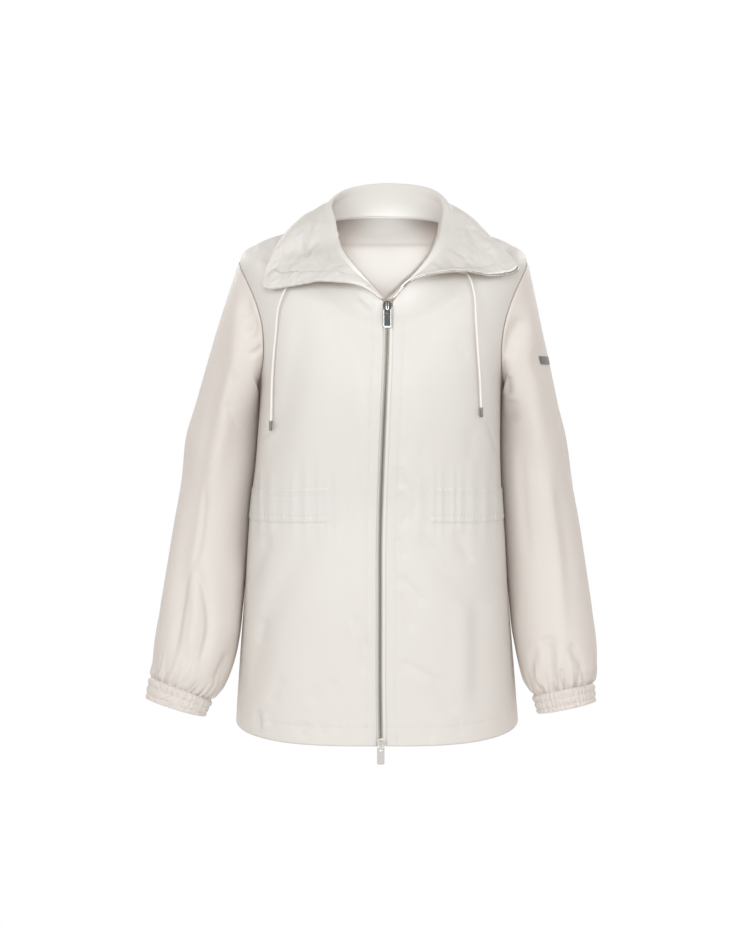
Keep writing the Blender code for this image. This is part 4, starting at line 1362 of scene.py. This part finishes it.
def meetBody(side, points, turns):
    # moves the inner side of a sleeve in until it lies against the body, as it does down to the hip
    f = sleeveShape
    sign = sideSign[side]
    outwards = points[..., 0] * sign
    nearest = outwards.argmin(axis=1)
    rows = np.arange(len(points))
    heights = points[rows, nearest, 2]
    edge = bodyPoint(np.linspace(0, armpitRing, 300), np.ones(300), side, "front")
    gap = outwards[rows, nearest] - np.interp(heights, edge[:, 2], edge[:, 0] * sign) - f["bodyGap"]
    low, high = f["contact"]
    below, above = f["contactFade"]
    held = smoothStep(low - below, low, heights)
    gap = np.maximum(gap, 0) * held * smoothStep(high + above, high - above, heights)
    moved = points.copy()
    moved[..., 0] -= sign * gap[:, None] * smoothStep(0.0, 0.85, np.cos(turns))
    return moved


def makeSleeves():
    f = sleeveShape
    made = {}
    turns = np.linspace(0, 2 * math.pi, f["columns"], endpoint=False)[None, :]
    for side in sideSign:
        flip = side == "left"
        places = sleevePlaces(side)[:, None]
        smooth = meetBody(side, sleevePoint(side, places, turns), turns)
        normals = gridNormals(smooth, flip, True)
        length = np.stack([lengthsAlong(smooth[:, k]) for k in range(0, f["columns"], 7)]).mean(axis=0)
        full = smoothStep(0, f["seamReach"], length)
        lift = f["seamLift"] + (sleeveForm["outside"] - f["seamLift"]) * full
        smooth = smooth + normals * lift[:, None, None]
        fromCuff = np.maximum(np.interp(f["cuffSeam"], places[:, 0], length) - length, 0)[:, None]
        rise = pictureCreases(smooth, normals, sleeveCreases[side]) * f["creaseShare"]
        rise = rise + hiddenCreases(side, smooth, normals)
        rise = rise + slack(smooth, f["slackRise"])
        if side == "left":
            x, y = inPicture(smooth)
            away = np.hypot(x - f["badgeSpot"][0], y - f["badgeSpot"][1])
            calm = np.exp(-(away / f["badgeCalm"]) ** 4) * smoothStep(0.3, 0.0, normals[..., 1])
            rise = rise * (1 - calm) - f["badgeSeat"] * calm
        rise = rise * smoothStep(0, f["seamCalm"], length)[:, None]
        place, reach = f["seamRollAt"]
        rise = rise + f["seamRoll"] * np.exp(-((length - place) / reach) ** 2)[:, None]
        rise = rise + gathers(turns, fromCuff, seeds["cuffPleats"][side])
        made[side] = layCloth("sleeve_cloth_" + side, "sleeve_" + side, smooth, normals, rise, sleevePaintedShadeLook,
                              sleeveForm["wall"], flip, True)
    return made


def cuffRibs(turns, share, seed):
    f = cuffShape
    draw = np.random.default_rng(seed)
    ribs = np.zeros((f["rows"], f["columns"]))
    for k in range(f["ribs"]):
        spot = (k + draw.uniform(-0.35, 0.35)) / f["ribs"] * 2 * math.pi
        gap = turnGap(turns, spot) + draw.uniform(-0.05, 0.05) * (share - 0.5)
        ribs += draw.uniform(0.5, 1.0) * np.exp(-(gap / draw.uniform(*f["ribWidths"])) ** 2)
    return ribs


def makeCuffs():
    f = cuffShape
    made = {}
    turns = np.linspace(0, 2 * math.pi, f["columns"], endpoint=False)[None, :]
    share = np.linspace(0, 1, f["rows"])[:, None]
    girth, height = f["flat"]
    for side in sideSign:
        flip = side == "left"
        smooth = sleevePoint(side, f["first"] + (sleeveForm["cuffEnd"] - f["first"]) * share, turns)
        normals = gridNormals(smooth, flip, True)
        ribs = cuffRibs(turns, share, seeds["cuffRibs"][side])
        crumples = crinkles(turns / (2 * math.pi) * girth + 0 * share, share * height + 0 * turns,
                            seeds["cuffCrumples"][side], f["crumples"], ((0, 0), (girth, height)), 75, 50,
                            *f["crumpleSize"], f["crumpleRise"])
        pinch = sum(np.exp(-((share - row) / 0.06) ** 2) for row in f["stitchRows"])
        pinch = pinch + np.exp(-(share / 0.07) ** 2) + 0.6 * np.exp(-((1 - share) / 0.06) ** 2)
        rise = f["ribRise"] * (ribs - 0.4) * (1 - 0.45 * pinch) - f["puff"] * (pinch - 0.5) + crumples
        clear = smoothStep(0, f["topReach"], share)
        lift = f["outside"] * clear - f["topSink"] * (1 - clear)
        made[side] = layCloth("cuff_cloth_" + side, "cuff_" + side, smooth, normals, lift + rise, sleevePaintedShadeLook,
                              f["wall"], flip, True)
    return made


sleeves = makeSleeves()
cuffs = makeCuffs()
print("sleeves and cuffs made")


# collar with its turned-down lapels

collarCreases = (
    (-0.0026, 5, 6, (326, 210), (319, 224), (311, 242), (306, 256)),
    (0.0022, 5, 5, (316, 214), (309, 228), (302, 242), (297, 252)),
    (-0.0016, 3, 3, (312, 243), (308, 250), (304, 258)),
    (-0.0016, 3, 4, (299, 236), (291, 248), (284, 260)),
    (-0.0014, 2.5, 3, (332, 236), (330, 250), (333, 262)),
    (-0.0014, 2.5, 2.5, (281, 254), (290, 251), (298, 246)),
    (-0.0018, 4, 3, (446, 226), (442, 240), (436, 256)),
    (0.0020, 4, 5, (443, 250), (452, 255), (466, 264)),
    (-0.0020, 3, 4, (449, 262), (458, 266), (468, 268)),
    (-0.0018, 4, 5, (466, 224), (473, 238), (481, 257)),
    (0.0016, 4, 4, (458, 228), (464, 242), (470, 256)),
    (-0.0012, 2.5, 2.5, (482, 244), (490, 252), (499, 262)),
    (-0.0014, 3, 3, (430, 262), (438, 264), (446, 268)),
)
collarShape = {
    "columns": 290,
    "rows": 88,
    "crinkleRise": 0.0016,
    "lapelRight": (6.2, 4.6), # stations over which the collar's fall becomes a lapel
    "lapelLeft": (9.8, 11.4),
    "edgePucker": 0.0007,
    "edgePuckerStep": 0.22,   # stations
    "edgePuckerReach": 0.05,
    "facingWidth": 0.028,
    "facingLift": 0.0014,
    # height of the inner edge, and the share of the width over which it rises
    "facingInner": {"right": (0.0, 0.10), "left": (-0.0016, 0.60)},
    "facingGrid": (120, 14),  # columns and rows
    "facingPucker": 0.0007,
    "facingPuckerStep": 0.007,
    "facingStitch": 0.22,
    "slackRise": 0.0007,
    "crinkleClip": (-0.0009, 0.0016),
    "facingStart": 0.8,
    "facingWall": 0.0008,
    "facingInnermost": 0.56,
    "tapeWidth": 0.0034,
    "tapeLift": 0.0024,
    "tapeWall": 0.0006,
    "tapeGrid": (160, 5),
    "tapeInnermost": 0.6,
}


# seed, count, box, heading, spread, length, width: px on the lapels, then stations and shares round the back
lapelCrinkles = (
    (191, 150, ((256, 225), (340, 290)), 122, 24, 7.5, 1.6),
    (92, 110, ((430, 215), (520, 285)), 60, 30, 7.5, 1.7),
)
neckCrinkles = (93, 70, ((5.0, 0.55), (11.0, 1.0)), 80, 25, 0.16, 0.05)
neckCrinkleRise = 0.0009


def collarRise(station, across, points, normals):
    f, c = collarShape, collarForm
    fall = smoothStep(c["rollEnd"] - 0.02, c["rollEnd"] + 0.12, across)
    lapel = np.maximum(smoothStep(*f["lapelRight"], station), smoothStep(*f["lapelLeft"], station))
    x, y = inPicture(points)
    fine = sum(crinkles(x, y, *patch, f["crinkleRise"]) for patch in lapelCrinkles)
    facing = smoothStep(0.05, 0.45, -(normals @ lookAlong))
    fine = np.clip(fine, *f["crinkleClip"])
    rise = (fine * facing + pictureCreases(points, normals, collarCreases)) * fall * lapel
    rise = rise + crinkles(station, across, *neckCrinkles, neckCrinkleRise) * fall * (1 - lapel)
    rise = rise + slack(points, f["slackRise"]) * smoothStep(0.02, 0.2, across)
    places, heights = puckers(c["lastStation"] + 1, f["edgePuckerStep"], seeds["collarEdge"])
    bump = np.interp(station, places, heights)
    return rise + f["edgePucker"] * bump * np.exp(-((1 - across) / f["edgePuckerReach"]) ** 2) * lapel


def makeCollar():
    f, c = collarShape, collarForm
    station = np.linspace(0, c["lastStation"], f["columns"])[None, :]
    across = np.linspace(0, 1, f["rows"])[:, None]
    smooth = collarPoint(station, across)
    normals = gridNormals(smooth)
    station, across = np.broadcast_arrays(station, across)
    rise = collarRise(station, across, smooth, normals)
    return layCloth("collar_cloth", "collar", smooth, normals, rise, clothLook, c["wall"])


def lapelGrid(side, start, count):
    # stations from near the slider to the collar's point, and the collar's rows there
    first, tip = start, collarForm["points"]["right"]
    if side == "left":
        first, tip = collarForm["lastStation"] - start, collarForm["points"]["left"]
    stations = np.linspace(first, tip, count)
    return stations / collarForm["lastStation"] * (collarShape["columns"] - 1)


def laidOnCollar(side, start, count, width, innermost, rows, lift):
    # a strip along the collar's zip edge, laid on the showing face
    collarPoints, collarNormals, _ = collar
    columns = lapelGrid(side, start, count)
    lastRow = collarShape["rows"] - 1
    roll = np.full(count, collarForm["rollEnd"] * lastRow)
    begin = onGrid(collarPoints, roll, columns)
    edge = onGrid(collarPoints, np.full(count, float(lastRow)), columns)
    inner = 1 - (1 - collarForm["rollEnd"]) * width / np.linalg.norm(edge - begin, axis=1)
    inner = np.maximum(inner, innermost)
    shares = np.linspace(0, 1, rows)[:, None]
    across = (inner + (1 - inner) * shares) * lastRow
    columns = np.broadcast_to(columns, across.shape)
    points = onGrid(collarPoints, across.ravel(), columns.ravel())
    normals = onGrid(collarNormals, across.ravel(), columns.ravel())
    shape = (rows, count, 3)
    return points.reshape(shape) + unit(normals.reshape(shape)) * lift, unit(normals.reshape(shape)), shares


def makeFacings():
    f = collarShape
    made = {}
    for side in sideSign:
        columns, rows = f["facingGrid"]
        points, normals, shares = laidOnCollar(side, f["facingStart"], columns, f["facingWidth"],
                                               f["facingInnermost"], rows, 0.0)
        places, heights = puckers(0.4, f["facingPuckerStep"], seeds["facing"][side])
        far = lengthsAlong(points[0])[None, :]
        bump = np.interp(far, places, heights)
        seam = np.exp(-((shares - 0.10) / 0.09) ** 2)
        inner, reach = f["facingInner"][side]
        lift = inner + (f["facingLift"] - inner) * smoothStep(-0.05, reach, shares)
        lift = lift + f["facingPucker"] * bump * seam
        made[side] = layCloth("facing_strip_" + side, "facing_" + side, points, normals, lift, clothLook,
                              f["facingWall"], side == "left")
    return made


collar = makeCollar()
facings = makeFacings()
print("collar and facings made")


# zip: tapes, teeth, sliders and pulls

zipForm = {
    "tapeHalf": 0.0130,
    "tapeMiddle": 0.0004,
    "tapeBehind": 0.0020,
    "tapeWall": 0.0007,
    "toothPitch": 0.0029,
    "toothLength": 0.0042,
    "toothThick": 0.00125,
    "toothDepth": 0.0024,
    "toothFront": 0.0010,
    "toothRoot": 0.0012,      # from the zip's middle
    "toothEdge": 0.00045,
    "chainEnd": 0.0008,       # from the end of the chain to its first tooth
    "upperPivot": -0.1055,
    "lowerPivot": -0.6860,
    "sliderHeight": 0.0150,
    "sliderWidth": 0.0110,
    "sliderFront": 0.0035,
    "sliderBelow": 0.0045,
    "bailLeg": ((0.0010, 0.0088), (-0.0014, 0.0082), (-0.0029, 0.0062), (-0.0034, 0.0035), (-0.0034, 0.0004)),
    "sliderPlate": 0.0014,    # thickness of the slider's face and core, then their rounded edges
    "sliderEdge": 0.00035,
    "coreEdge": 0.0003,
    "coreInset": (0.80, 0.90),
    "faceSet": 0.0007,        # how far the middles of the face and core lie behind the front
    "coreSet": 0.0019,
    "bailHalf": 0.0014,
    "bailWire": 0.0006,
    "barRadius": 0.0007,
    "pullWidth": 0.0100,
    "pullLength": 0.0240,
    "pullCorner": 0.0022,
    "pullHole": (0.0052, 0.0052),
    "holeCorner": 0.0012,
    "pullGap": 0.0006,
    "pullRim": 0.0008,
    "pullEdge": 0.0003,
    "inlayTop": 0.0004,       # from the bar's top to the inlay's
    "inlayCorner": 0.0008,
    "inlayThick": 0.0003,
    "inlayEdge": 0.00008,
    "inlayProud": 0.00003,
    "rowStart": 0.5,
    "rowSkip": {"right": 0.022, "left": 0.001},   # from the slider to the first tooth
    # past the lapel's edge, and under its face
    "rowOffset": {"right": (-0.0080, 0.0058), "left": (0.0020, 0.0014)},
}
# half width as a share, and place up the slider
sliderOutline = ((0.35, 1.0), (0.75, 0.93), (1.0, 0.8), (1.0, 0.6), (0.76, 0.13), (0.6, 0.0))


def zipLine(level):
    return bodyMiddle(level, np.zeros(np.shape(level)), "left", "front")


def zipOut(level):
    rise = zipLine(np.minimum(level + 0.02, neckRing)) - zipLine(np.maximum(level - 0.02, 0))
    return unit(np.stack((0 * rise[..., 0], -rise[..., 2], rise[..., 1]), axis=-1))


def zipLevel(height):
    levels = np.linspace(0, neckRing, 2000)
    return np.interp(height, zipLine(levels)[:, 2], levels)


def makeTapes():
    f = zipForm
    levels = np.linspace(0, zipLevel(f["upperPivot"]) + 0.2, 260)
    middle, out = zipLine(levels)[:, None], zipOut(levels)[:, None]
    for side, sign in sideSign.items():
        sideways = np.linspace(f["tapeMiddle"], f["tapeHalf"], 9)[None, :, None] * sign
        points = middle + sideways * np.array((1.0, 0.0, 0.0)) - out * f["tapeBehind"]
        piece = makeCloth("tape_" + side, points, tapeLook, f["tapeWall"], side == "right")
        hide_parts("zip_tape_" + side)


def toothShape():
    # one bevelled tooth: x along its length from the root, y its depth, z its thickness
    f = zipForm
    block = bmesh.new()
    bmesh.ops.create_cube(block, size=1.0)
    bmesh.ops.scale(block, vec=(f["toothLength"], f["toothDepth"], f["toothThick"]), verts=block.verts)
    bmesh.ops.bevel(block, geom=list(block.edges), offset=f["toothEdge"], segments=2, affect="EDGES")
    block.verts.ensure_lookup_table()
    points = np.array([corner.co[:] for corner in block.verts])
    faces = [[corner.index for corner in face.verts] for face in block.faces]
    block.free()
    return points, faces


def placeTeeth(roots, along, out, over):
    # teeth at roots: over is the way each tooth points, along the way of the row
    points, faces = toothShape()
    solids = []
    for root, ahead, outward, reach in zip(roots, along, out, over):
        moved = root + points[:, :1] * reach - points[:, 1:2] * outward + points[:, 2:3] * ahead
        solids.append((moved, faces))
    return solids


def makeTeeth():
    f = zipForm
    bottom = zipLevel(f["lowerPivot"] + f["sliderHeight"] - f["sliderBelow"])
    top = zipLevel(f["upperPivot"] - f["sliderBelow"])
    levels = np.linspace(bottom, top, 1200)
    far = lengthsAlong(zipLine(levels))
    solids = []
    for side, sign in sideSign.items():
        begin = f["chainEnd"] + (f["toothPitch"] / 2 if side == "left" else 0)
        spots = np.interp(np.arange(begin, far[-1] - f["chainEnd"], f["toothPitch"]), far, levels)
        out = zipOut(spots)
        sideways = np.array((1.0, 0.0, 0.0))
        roots = zipLine(spots) + out * (f["toothFront"] - f["toothDepth"] / 2)
        roots = roots + sideways * sign * f["toothRoot"]
        ahead = np.cross(np.broadcast_to(sideways, out.shape), -out)
        solids += placeTeeth(roots, ahead, out, np.broadcast_to(-sideways * sign, out.shape))
    chain = joinSolids("zip_teeth", solids, toothLook)
    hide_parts("zip_chain")


def makeLapelTeeth():
    # open rows of teeth along the collar's zip edges, with the left row's tape laid on the lapel
    f, c = zipForm, collarShape
    for side in sideSign:
        columns, rows = c["tapeGrid"]
        strip, normals, _ = laidOnCollar(side, f["rowStart"], columns, c["tapeWidth"], c["tapeInnermost"],
                                         rows, c["tapeLift"])
        if side == "left":
            tape = makeCloth("lapel_tape", strip, tapeLook, c["tapeWall"], True)
        line = evenly(strip[-1], 0.0004)
        far = lengthsAlong(line)
        spots = np.arange(f["rowSkip"][side], far[-1] - 0.001, f["toothPitch"])
        stripFar = lengthsAlong(strip[-1])

        def at(values, source=stripFar):
            return np.stack([np.interp(spots, source, values[:, axis]) for axis in range(3)], axis=1)

        edge, out = at(strip[-1]), unit(at(normals[-1]))
        over = unit(at(strip[-1]) - at(strip[-2]))
        ahead = np.cross(over, out)
        past, down = f["rowOffset"][side]
        roots = edge + over * past - out * down
        row = joinSolids("lapel_teeth_" + side, placeTeeth(roots, ahead, out, over), toothLook)
        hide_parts("zip_row_" + side)


def plate(outlines, thickness, edge):
    # a flat plate with rounded edges in its own x-z plane, as (points, faces)
    data = bpy.data.curves.new("plate", "CURVE")
    data.dimensions = "2D"
    data.fill_mode = "BOTH"
    data.extrude = thickness / 2 - edge
    data.bevel_depth = edge
    data.bevel_resolution = 2
    data.offset = -edge
    for outline in outlines:
        spline = data.splines.new("POLY")
        spline.points.add(len(outline) - 1)
        for corner, (x, z) in zip(spline.points, outline):
            corner.co = (x, z, 0, 1)
        spline.use_cyclic_u = True
    source = bpy.data.objects.new("plate", data)
    bpy.context.scene.collection.objects.link(source)
    bpy.context.view_layer.update()
    mesh = bpy.data.meshes.new_from_object(source.evaluated_get(bpy.context.evaluated_depsgraph_get()))
    points = np.array([(v.co.x, -v.co.z, v.co.y) for v in mesh.vertices])
    faces = [list(face.vertices) for face in mesh.polygons]
    bpy.data.objects.remove(source)
    bpy.data.meshes.remove(mesh)
    bpy.data.curves.remove(data)
    return points, faces


def roundedBox(halfWidth, bottom, top, corner):
    middles = ((halfWidth - corner, top - corner, 0), (corner - halfWidth, top - corner, 90),
               (corner - halfWidth, bottom + corner, 180), (halfWidth - corner, bottom + corner, 270))
    outline = []
    for x, z, start in middles:
        for turn in np.radians(np.linspace(start, start + 90, 7)):
            outline.append((x + corner * math.cos(turn), z + corner * math.sin(turn)))
    return outline


def makeSlider(name, height, bodyLook, tabLook, faceLook):
    f = zipForm
    level = np.array([zipLevel(height)])
    out = zipOut(level)[0]
    pivot = zipLine(level)[0] + out * (f["sliderFront"] + f["barRadius"] + f["pullGap"])
    sideways = np.array((1.0, 0.0, 0.0))
    up = np.cross(sideways, -out)

    def placed(solid, forward):
        # from x across, y back, z up at the pull's bar to the jacket, moved forward
        points, faces = solid
        back = (points[:, 1:2] - forward) * out
        return pivot + points[:, :1] * sideways - back + points[:, 2:3] * up, faces

    bottom, top = -f["sliderBelow"], f["sliderHeight"] - f["sliderBelow"]
    half = [(share * f["sliderWidth"] / 2, bottom + place * (top - bottom)) for share, place in sliderOutline]
    outline = half + [(-x, z) for x, z in reversed(half)]
    insetX, insetZ = f["coreInset"]
    inset = [(x * insetX, z * insetZ) for x, z in outline]
    behind = -(f["barRadius"] + f["pullGap"])
    front = placed(plate([outline], f["sliderPlate"], f["sliderEdge"]), behind - f["faceSet"])
    core = placed(plate([inset], f["sliderPlate"], f["coreEdge"]), behind - f["coreSet"])
    body = joinSolids("slider_body_" + name, [front, core], bodyLook)
    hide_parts("slider_" + name)

    leg = np.array(f["bailLeg"])
    turns = np.linspace(math.pi, 2 * math.pi, 13)[1:-1]
    half, low = f["bailHalf"], leg[-1]
    bend = np.stack((half * np.cos(turns), 0 * turns + low[0], low[1] + half * np.sin(turns)), axis=1)
    left = np.concatenate((np.full((len(leg), 1), -half), leg), axis=1)
    right = left[::-1] * np.array((-1, 1, 1))
    loop = evenly(np.concatenate((left, bend, right)), 0.0003)
    bail = joinSolids("slider_bail_" + name, [placed(tube(loop, np.full(len(loop), f["bailWire"]), 12), 0.0)],
                      nickelLook)
    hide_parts("bail_" + name)

    wide, long = f["pullHole"]
    outer = roundedBox(f["pullWidth"] / 2, -f["pullLength"], f["barRadius"], f["pullCorner"])
    hole = roundedBox(wide / 2, -f["barRadius"] - long, -f["barRadius"], f["holeCorner"])
    tab = placed(plate([outer, hole], 2 * f["barRadius"], f["pullEdge"]), 0.0)
    pull = joinSolids("pull_tab_" + name, [tab], tabLook, name + "_pull")
    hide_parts("pull_" + name)
    rim = f["pullRim"]
    face = roundedBox(f["pullWidth"] / 2 - rim, -f["pullLength"] + 2.4 * rim, f["barRadius"] - f["inlayTop"],
                      f["inlayCorner"])
    inlay = placed(plate([face, hole], f["inlayThick"], f["inlayEdge"]), f["barRadius"] + f["inlayProud"])
    panel = joinSolids("pull_face_" + name, [inlay], faceLook, name + "_pull")


makeTapes()
makeTeeth()
makeLapelTeeth()
# the upper slider's body and pull face are near black: painted shade
makeSlider("upper", zipForm["upperPivot"], paintedShadeNickelLook, rimLook, paintedShadeNickelLook)
makeSlider("lower", zipForm["lowerPivot"], nickelLook, nickelLook, nickelLook)
print("zip made")


# small metal pieces

eyeletForm = {"radius": 0.0042, "wire": 0.0011, "sides": 12, "steps": 40,
              "places": {"right": (9.09, 0.556), "left": (9.85, 0.549)}, "seatGap": 0.0005}


def makeEyelets():
    f = eyeletForm
    for side, (level, around) in f["places"].items():
        level, around = np.array([level]), np.array([around])
        out = bodyOut(level, around, side, "front")[0]
        seat = bodyPoint(level, around, side, "front")[0] + out * (f["wire"] + f["seatGap"])
        first = unit(np.cross(out, (0.0, 0.0, 1.0)))
        second = np.cross(out, first)
        turns = np.linspace(0, 2 * math.pi, f["steps"], endpoint=False)
        rays = np.cos(turns)[:, None] * first + np.sin(turns)[:, None] * second
        wireTurns = np.linspace(0, 2 * math.pi, f["sides"], endpoint=False)
        reach = f["radius"] + f["wire"] * np.cos(wireTurns)
        grid = (seat + rays[:, None] * reach[None, :, None]
                + out * (f["wire"] * np.sin(wireTurns))[None, :, None])
        faces = gridFaces(f["steps"], f["sides"], True, True)[0].tolist()
        last = (f["steps"] - 1) * f["sides"]
        for k in range(f["sides"]):
            nextK = (k + 1) % f["sides"]
            faces.append([last + nextK, nextK, k, last + k])
        ring = joinSolids("eyelet_ring_" + side, [(grid.reshape(-1, 3), faces)], nickelLook)
        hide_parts("eyelet_" + side)


def finishPlate():
    # the bare plate keeps its CAD shape, with its edges broken
    badge = nodes["sleeve_badge"]
    badge.data.materials.clear()
    badge.data.materials.append(plateLook)
    edges = badge.modifiers.new("edges", "BEVEL")
    edges.width = 0.00025
    edges.segments = 2
    edges.limit_method = "ANGLE"
    edges.angle_limit = math.radians(50)


makeEyelets()
finishPlate()
print("eyelets and plate made")


# stitching rows

def stitchLine(cloth, rowPlaces, columnPlaces):
    points, normals, _ = cloth
    return stitchesAlong(onGrid(points, rowPlaces, columnPlaces), onGrid(normals, rowPlaces, columnPlaces))


def rowStitches(cloth, share):
    # along the row at a share of the cloth's height
    rows, columns = cloth[0].shape[:2]
    return stitchLine(cloth, np.full(columns, share * (rows - 1)), np.arange(columns, dtype=float))


def hemStitches(cloth):
    points = cloth[0]
    near = np.arange(stitchForm["searched"])
    above = points[near, :, 2] - points[:1, :, 2]
    columns = np.arange(points.shape[1])
    places = np.array([np.interp(panelForm["hemHeight"], above[:, k], near) for k in columns])
    return stitchLine(cloth, places, columns.astype(float))


def zipStitches(cloth):
    points = cloth[0]
    near = np.arange(stitchForm["searched"])
    fromEdge = np.abs(points[:, near, 0] - points[:, :1, 0])
    rows = np.arange(len(points) - stitchForm["belowNeck"])
    places = np.array([np.interp(panelForm["zipStitch"], fromEdge[k], near) for k in rows])
    return stitchLine(cloth, rows.astype(float), places)


def makeStitching():
    casingRows, cuffRows = ruchForm["stitchRows"], cuffShape["stitchRows"]
    facingRow = collarShape["facingStitch"]
    runs = {
        "zip": [zipStitches(cloth) for cloth in fronts.values()],
        "hem": [hemStitches(cloth) for cloth in (*fronts.values(), backPanel)],
        "casing": [rowStitches(cloth, row) for cloth in casings.values() for row in casingRows],
        "cuff": [rowStitches(cloth, row) for cloth in cuffs.values() for row in cuffRows],
        "collar": [rowStitches(cloth, facingRow) for cloth in facings.values()],
    }
    for name, rows in runs.items():
        piece = joinSolids("stitches_" + name, sum(rows, []), threadLook)
    print("stitching made")


makeStitching()


# each cloth piece with the piece that holds it, and whether it hangs or is gathered; the list is not used


def declareSheets():
    rows = []
    for side in sideSign:
        rows += [("front", fronts[side], "collar_cloth"), ("sleeve", sleeves[side], "panel_front_" + side),
                 ("cuff", cuffs[side], "sleeve_cloth_" + side), ("facing", facings[side], "collar_cloth"),
                 ("casingFront", casings["front_" + side], "panel_front_" + side)]
    rows += [("back", backPanel, "collar_cloth"), ("collar", collar, "panel_back"),
             ("casingBack", casings["back"], "panel_back")]
    for cut, (_, _, piece), holder in rows:
        held = "gathered" if cut == "cuff" else "hung"


declareSheets()


# floor, light and background

stageForm = {
    "floorHeight": -1.42,
    "floorRadius": 0.84,
    "floorSides": 96,
    "floorColour": (0.90, 0.90, 0.90, 1),
    "skyLight": 0.65,         # the white surround as soft light, and as it looks
    "skySeen": 1.0,
    "skyTint": (1.0, 0.955, 0.905),
    "lampTint": (0.915, 0.975, 1.0),
    # spot, aim, size m, power W
    "lights": {
        "keyLeft": ((-2.1, -2.7, 0.80), (0.0, 0.0, -0.35), 1.3, 27),
        "keyRight": ((2.1, -2.6, 0.85), (0.0, 0.0, -0.35), 1.3, 19),
        "front": ((0.0, -3.1, 0.75), (0.0, 0.0, -0.35), 1.1, 41),
        "backLeft": ((-1.7, 2.4, 0.7), (0.0, 0.0, -0.35), 1.3, 26),
        "backRight": ((1.7, 2.4, 0.7), (0.0, 0.0, -0.35), 1.3, 26),
    },
}
neckLight = {
    "spot": (0.007, -2.20, 0.10),
    "aim": (0.009, 0.090, -0.050),
    "power": 170,             # W
    "cone": 3.7,              # degrees
    "softShare": 0.85,
    "size": 0.02,
}


def makeFloor():
    f = stageForm
    turns = np.linspace(0, 2 * math.pi, f["floorSides"], endpoint=False)
    rim = [(f["floorRadius"] * math.cos(t), f["floorRadius"] * math.sin(t), f["floorHeight"]) for t in turns]
    mesh = bpy.data.meshes.new("floor")
    mesh.from_pydata(rim, [], [list(range(len(rim)))])
    look = Look("paleFloor")
    mesh.materials.append(look.finish({"Base Color": f["floorColour"], "Roughness": 0.9}))
    floor = bpy.data.objects.new("floor", mesh)
    bpy.context.scene.collection.objects.link(floor)


def makeSky():
    # plain white all round, dimmer as light than it looks
    world = bpy.data.worlds.new("studio")
    world.use_nodes = True
    tree = world.node_tree
    light = tree.nodes["Background"]
    light.inputs["Color"].default_value = (*stageForm["skyTint"], 1)
    light.inputs["Strength"].default_value = stageForm["skyLight"]
    seen = tree.nodes.new("ShaderNodeBackground")
    seen.inputs["Color"].default_value = (1, 1, 1, 1)
    seen.inputs["Strength"].default_value = stageForm["skySeen"]
    mix = tree.nodes.new("ShaderNodeMixShader")
    rays = tree.nodes.new("ShaderNodeLightPath")
    either = tree.nodes.new("ShaderNodeMath")
    either.operation = "MAXIMUM"
    tree.links.new(rays.outputs["Is Camera Ray"], either.inputs[0])
    tree.links.new(rays.outputs["Is Glossy Ray"], either.inputs[1])
    tree.links.new(either.outputs[0], mix.inputs[0])
    tree.links.new(light.outputs[0], mix.inputs[1])
    tree.links.new(seen.outputs[0], mix.inputs[2])
    tree.links.new(mix.outputs[0], tree.nodes["World Output"].inputs["Surface"])
    bpy.context.scene.world = world


def placeLight(data, spot, aim):
    data.color = stageForm["lampTint"]
    light = bpy.data.objects.new(data.name, data)
    light.location = spot
    light.rotation_euler = (Vector(aim) - Vector(spot)).to_track_quat("-Z", "Y").to_euler()
    bpy.context.scene.collection.objects.link(light)


def makeLights():
    for name, (spot, aim, size, power) in stageForm["lights"].items():
        data = bpy.data.lights.new(name, "AREA")
        data.shape = "DISK"
        data.size = size
        data.energy = power
        placeLight(data, spot, aim)


def makeNeckLight():
    # a narrow light into the neck
    f = neckLight
    data = bpy.data.lights.new("neck", "SPOT")
    data.energy = f["power"]
    data.spot_size = math.radians(f["cone"])
    data.spot_blend = f["softShare"]
    data.shadow_soft_size = f["size"]
    data.cycles.max_bounces = 0   # it lights only what it strikes, so that none comes through the back
    placeLight(data, f["spot"], f["aim"])


makeFloor()
makeSky()
makeLights()
makeNeckLight()
bpy.context.scene.view_settings.view_transform = "Standard"
print("stage made")
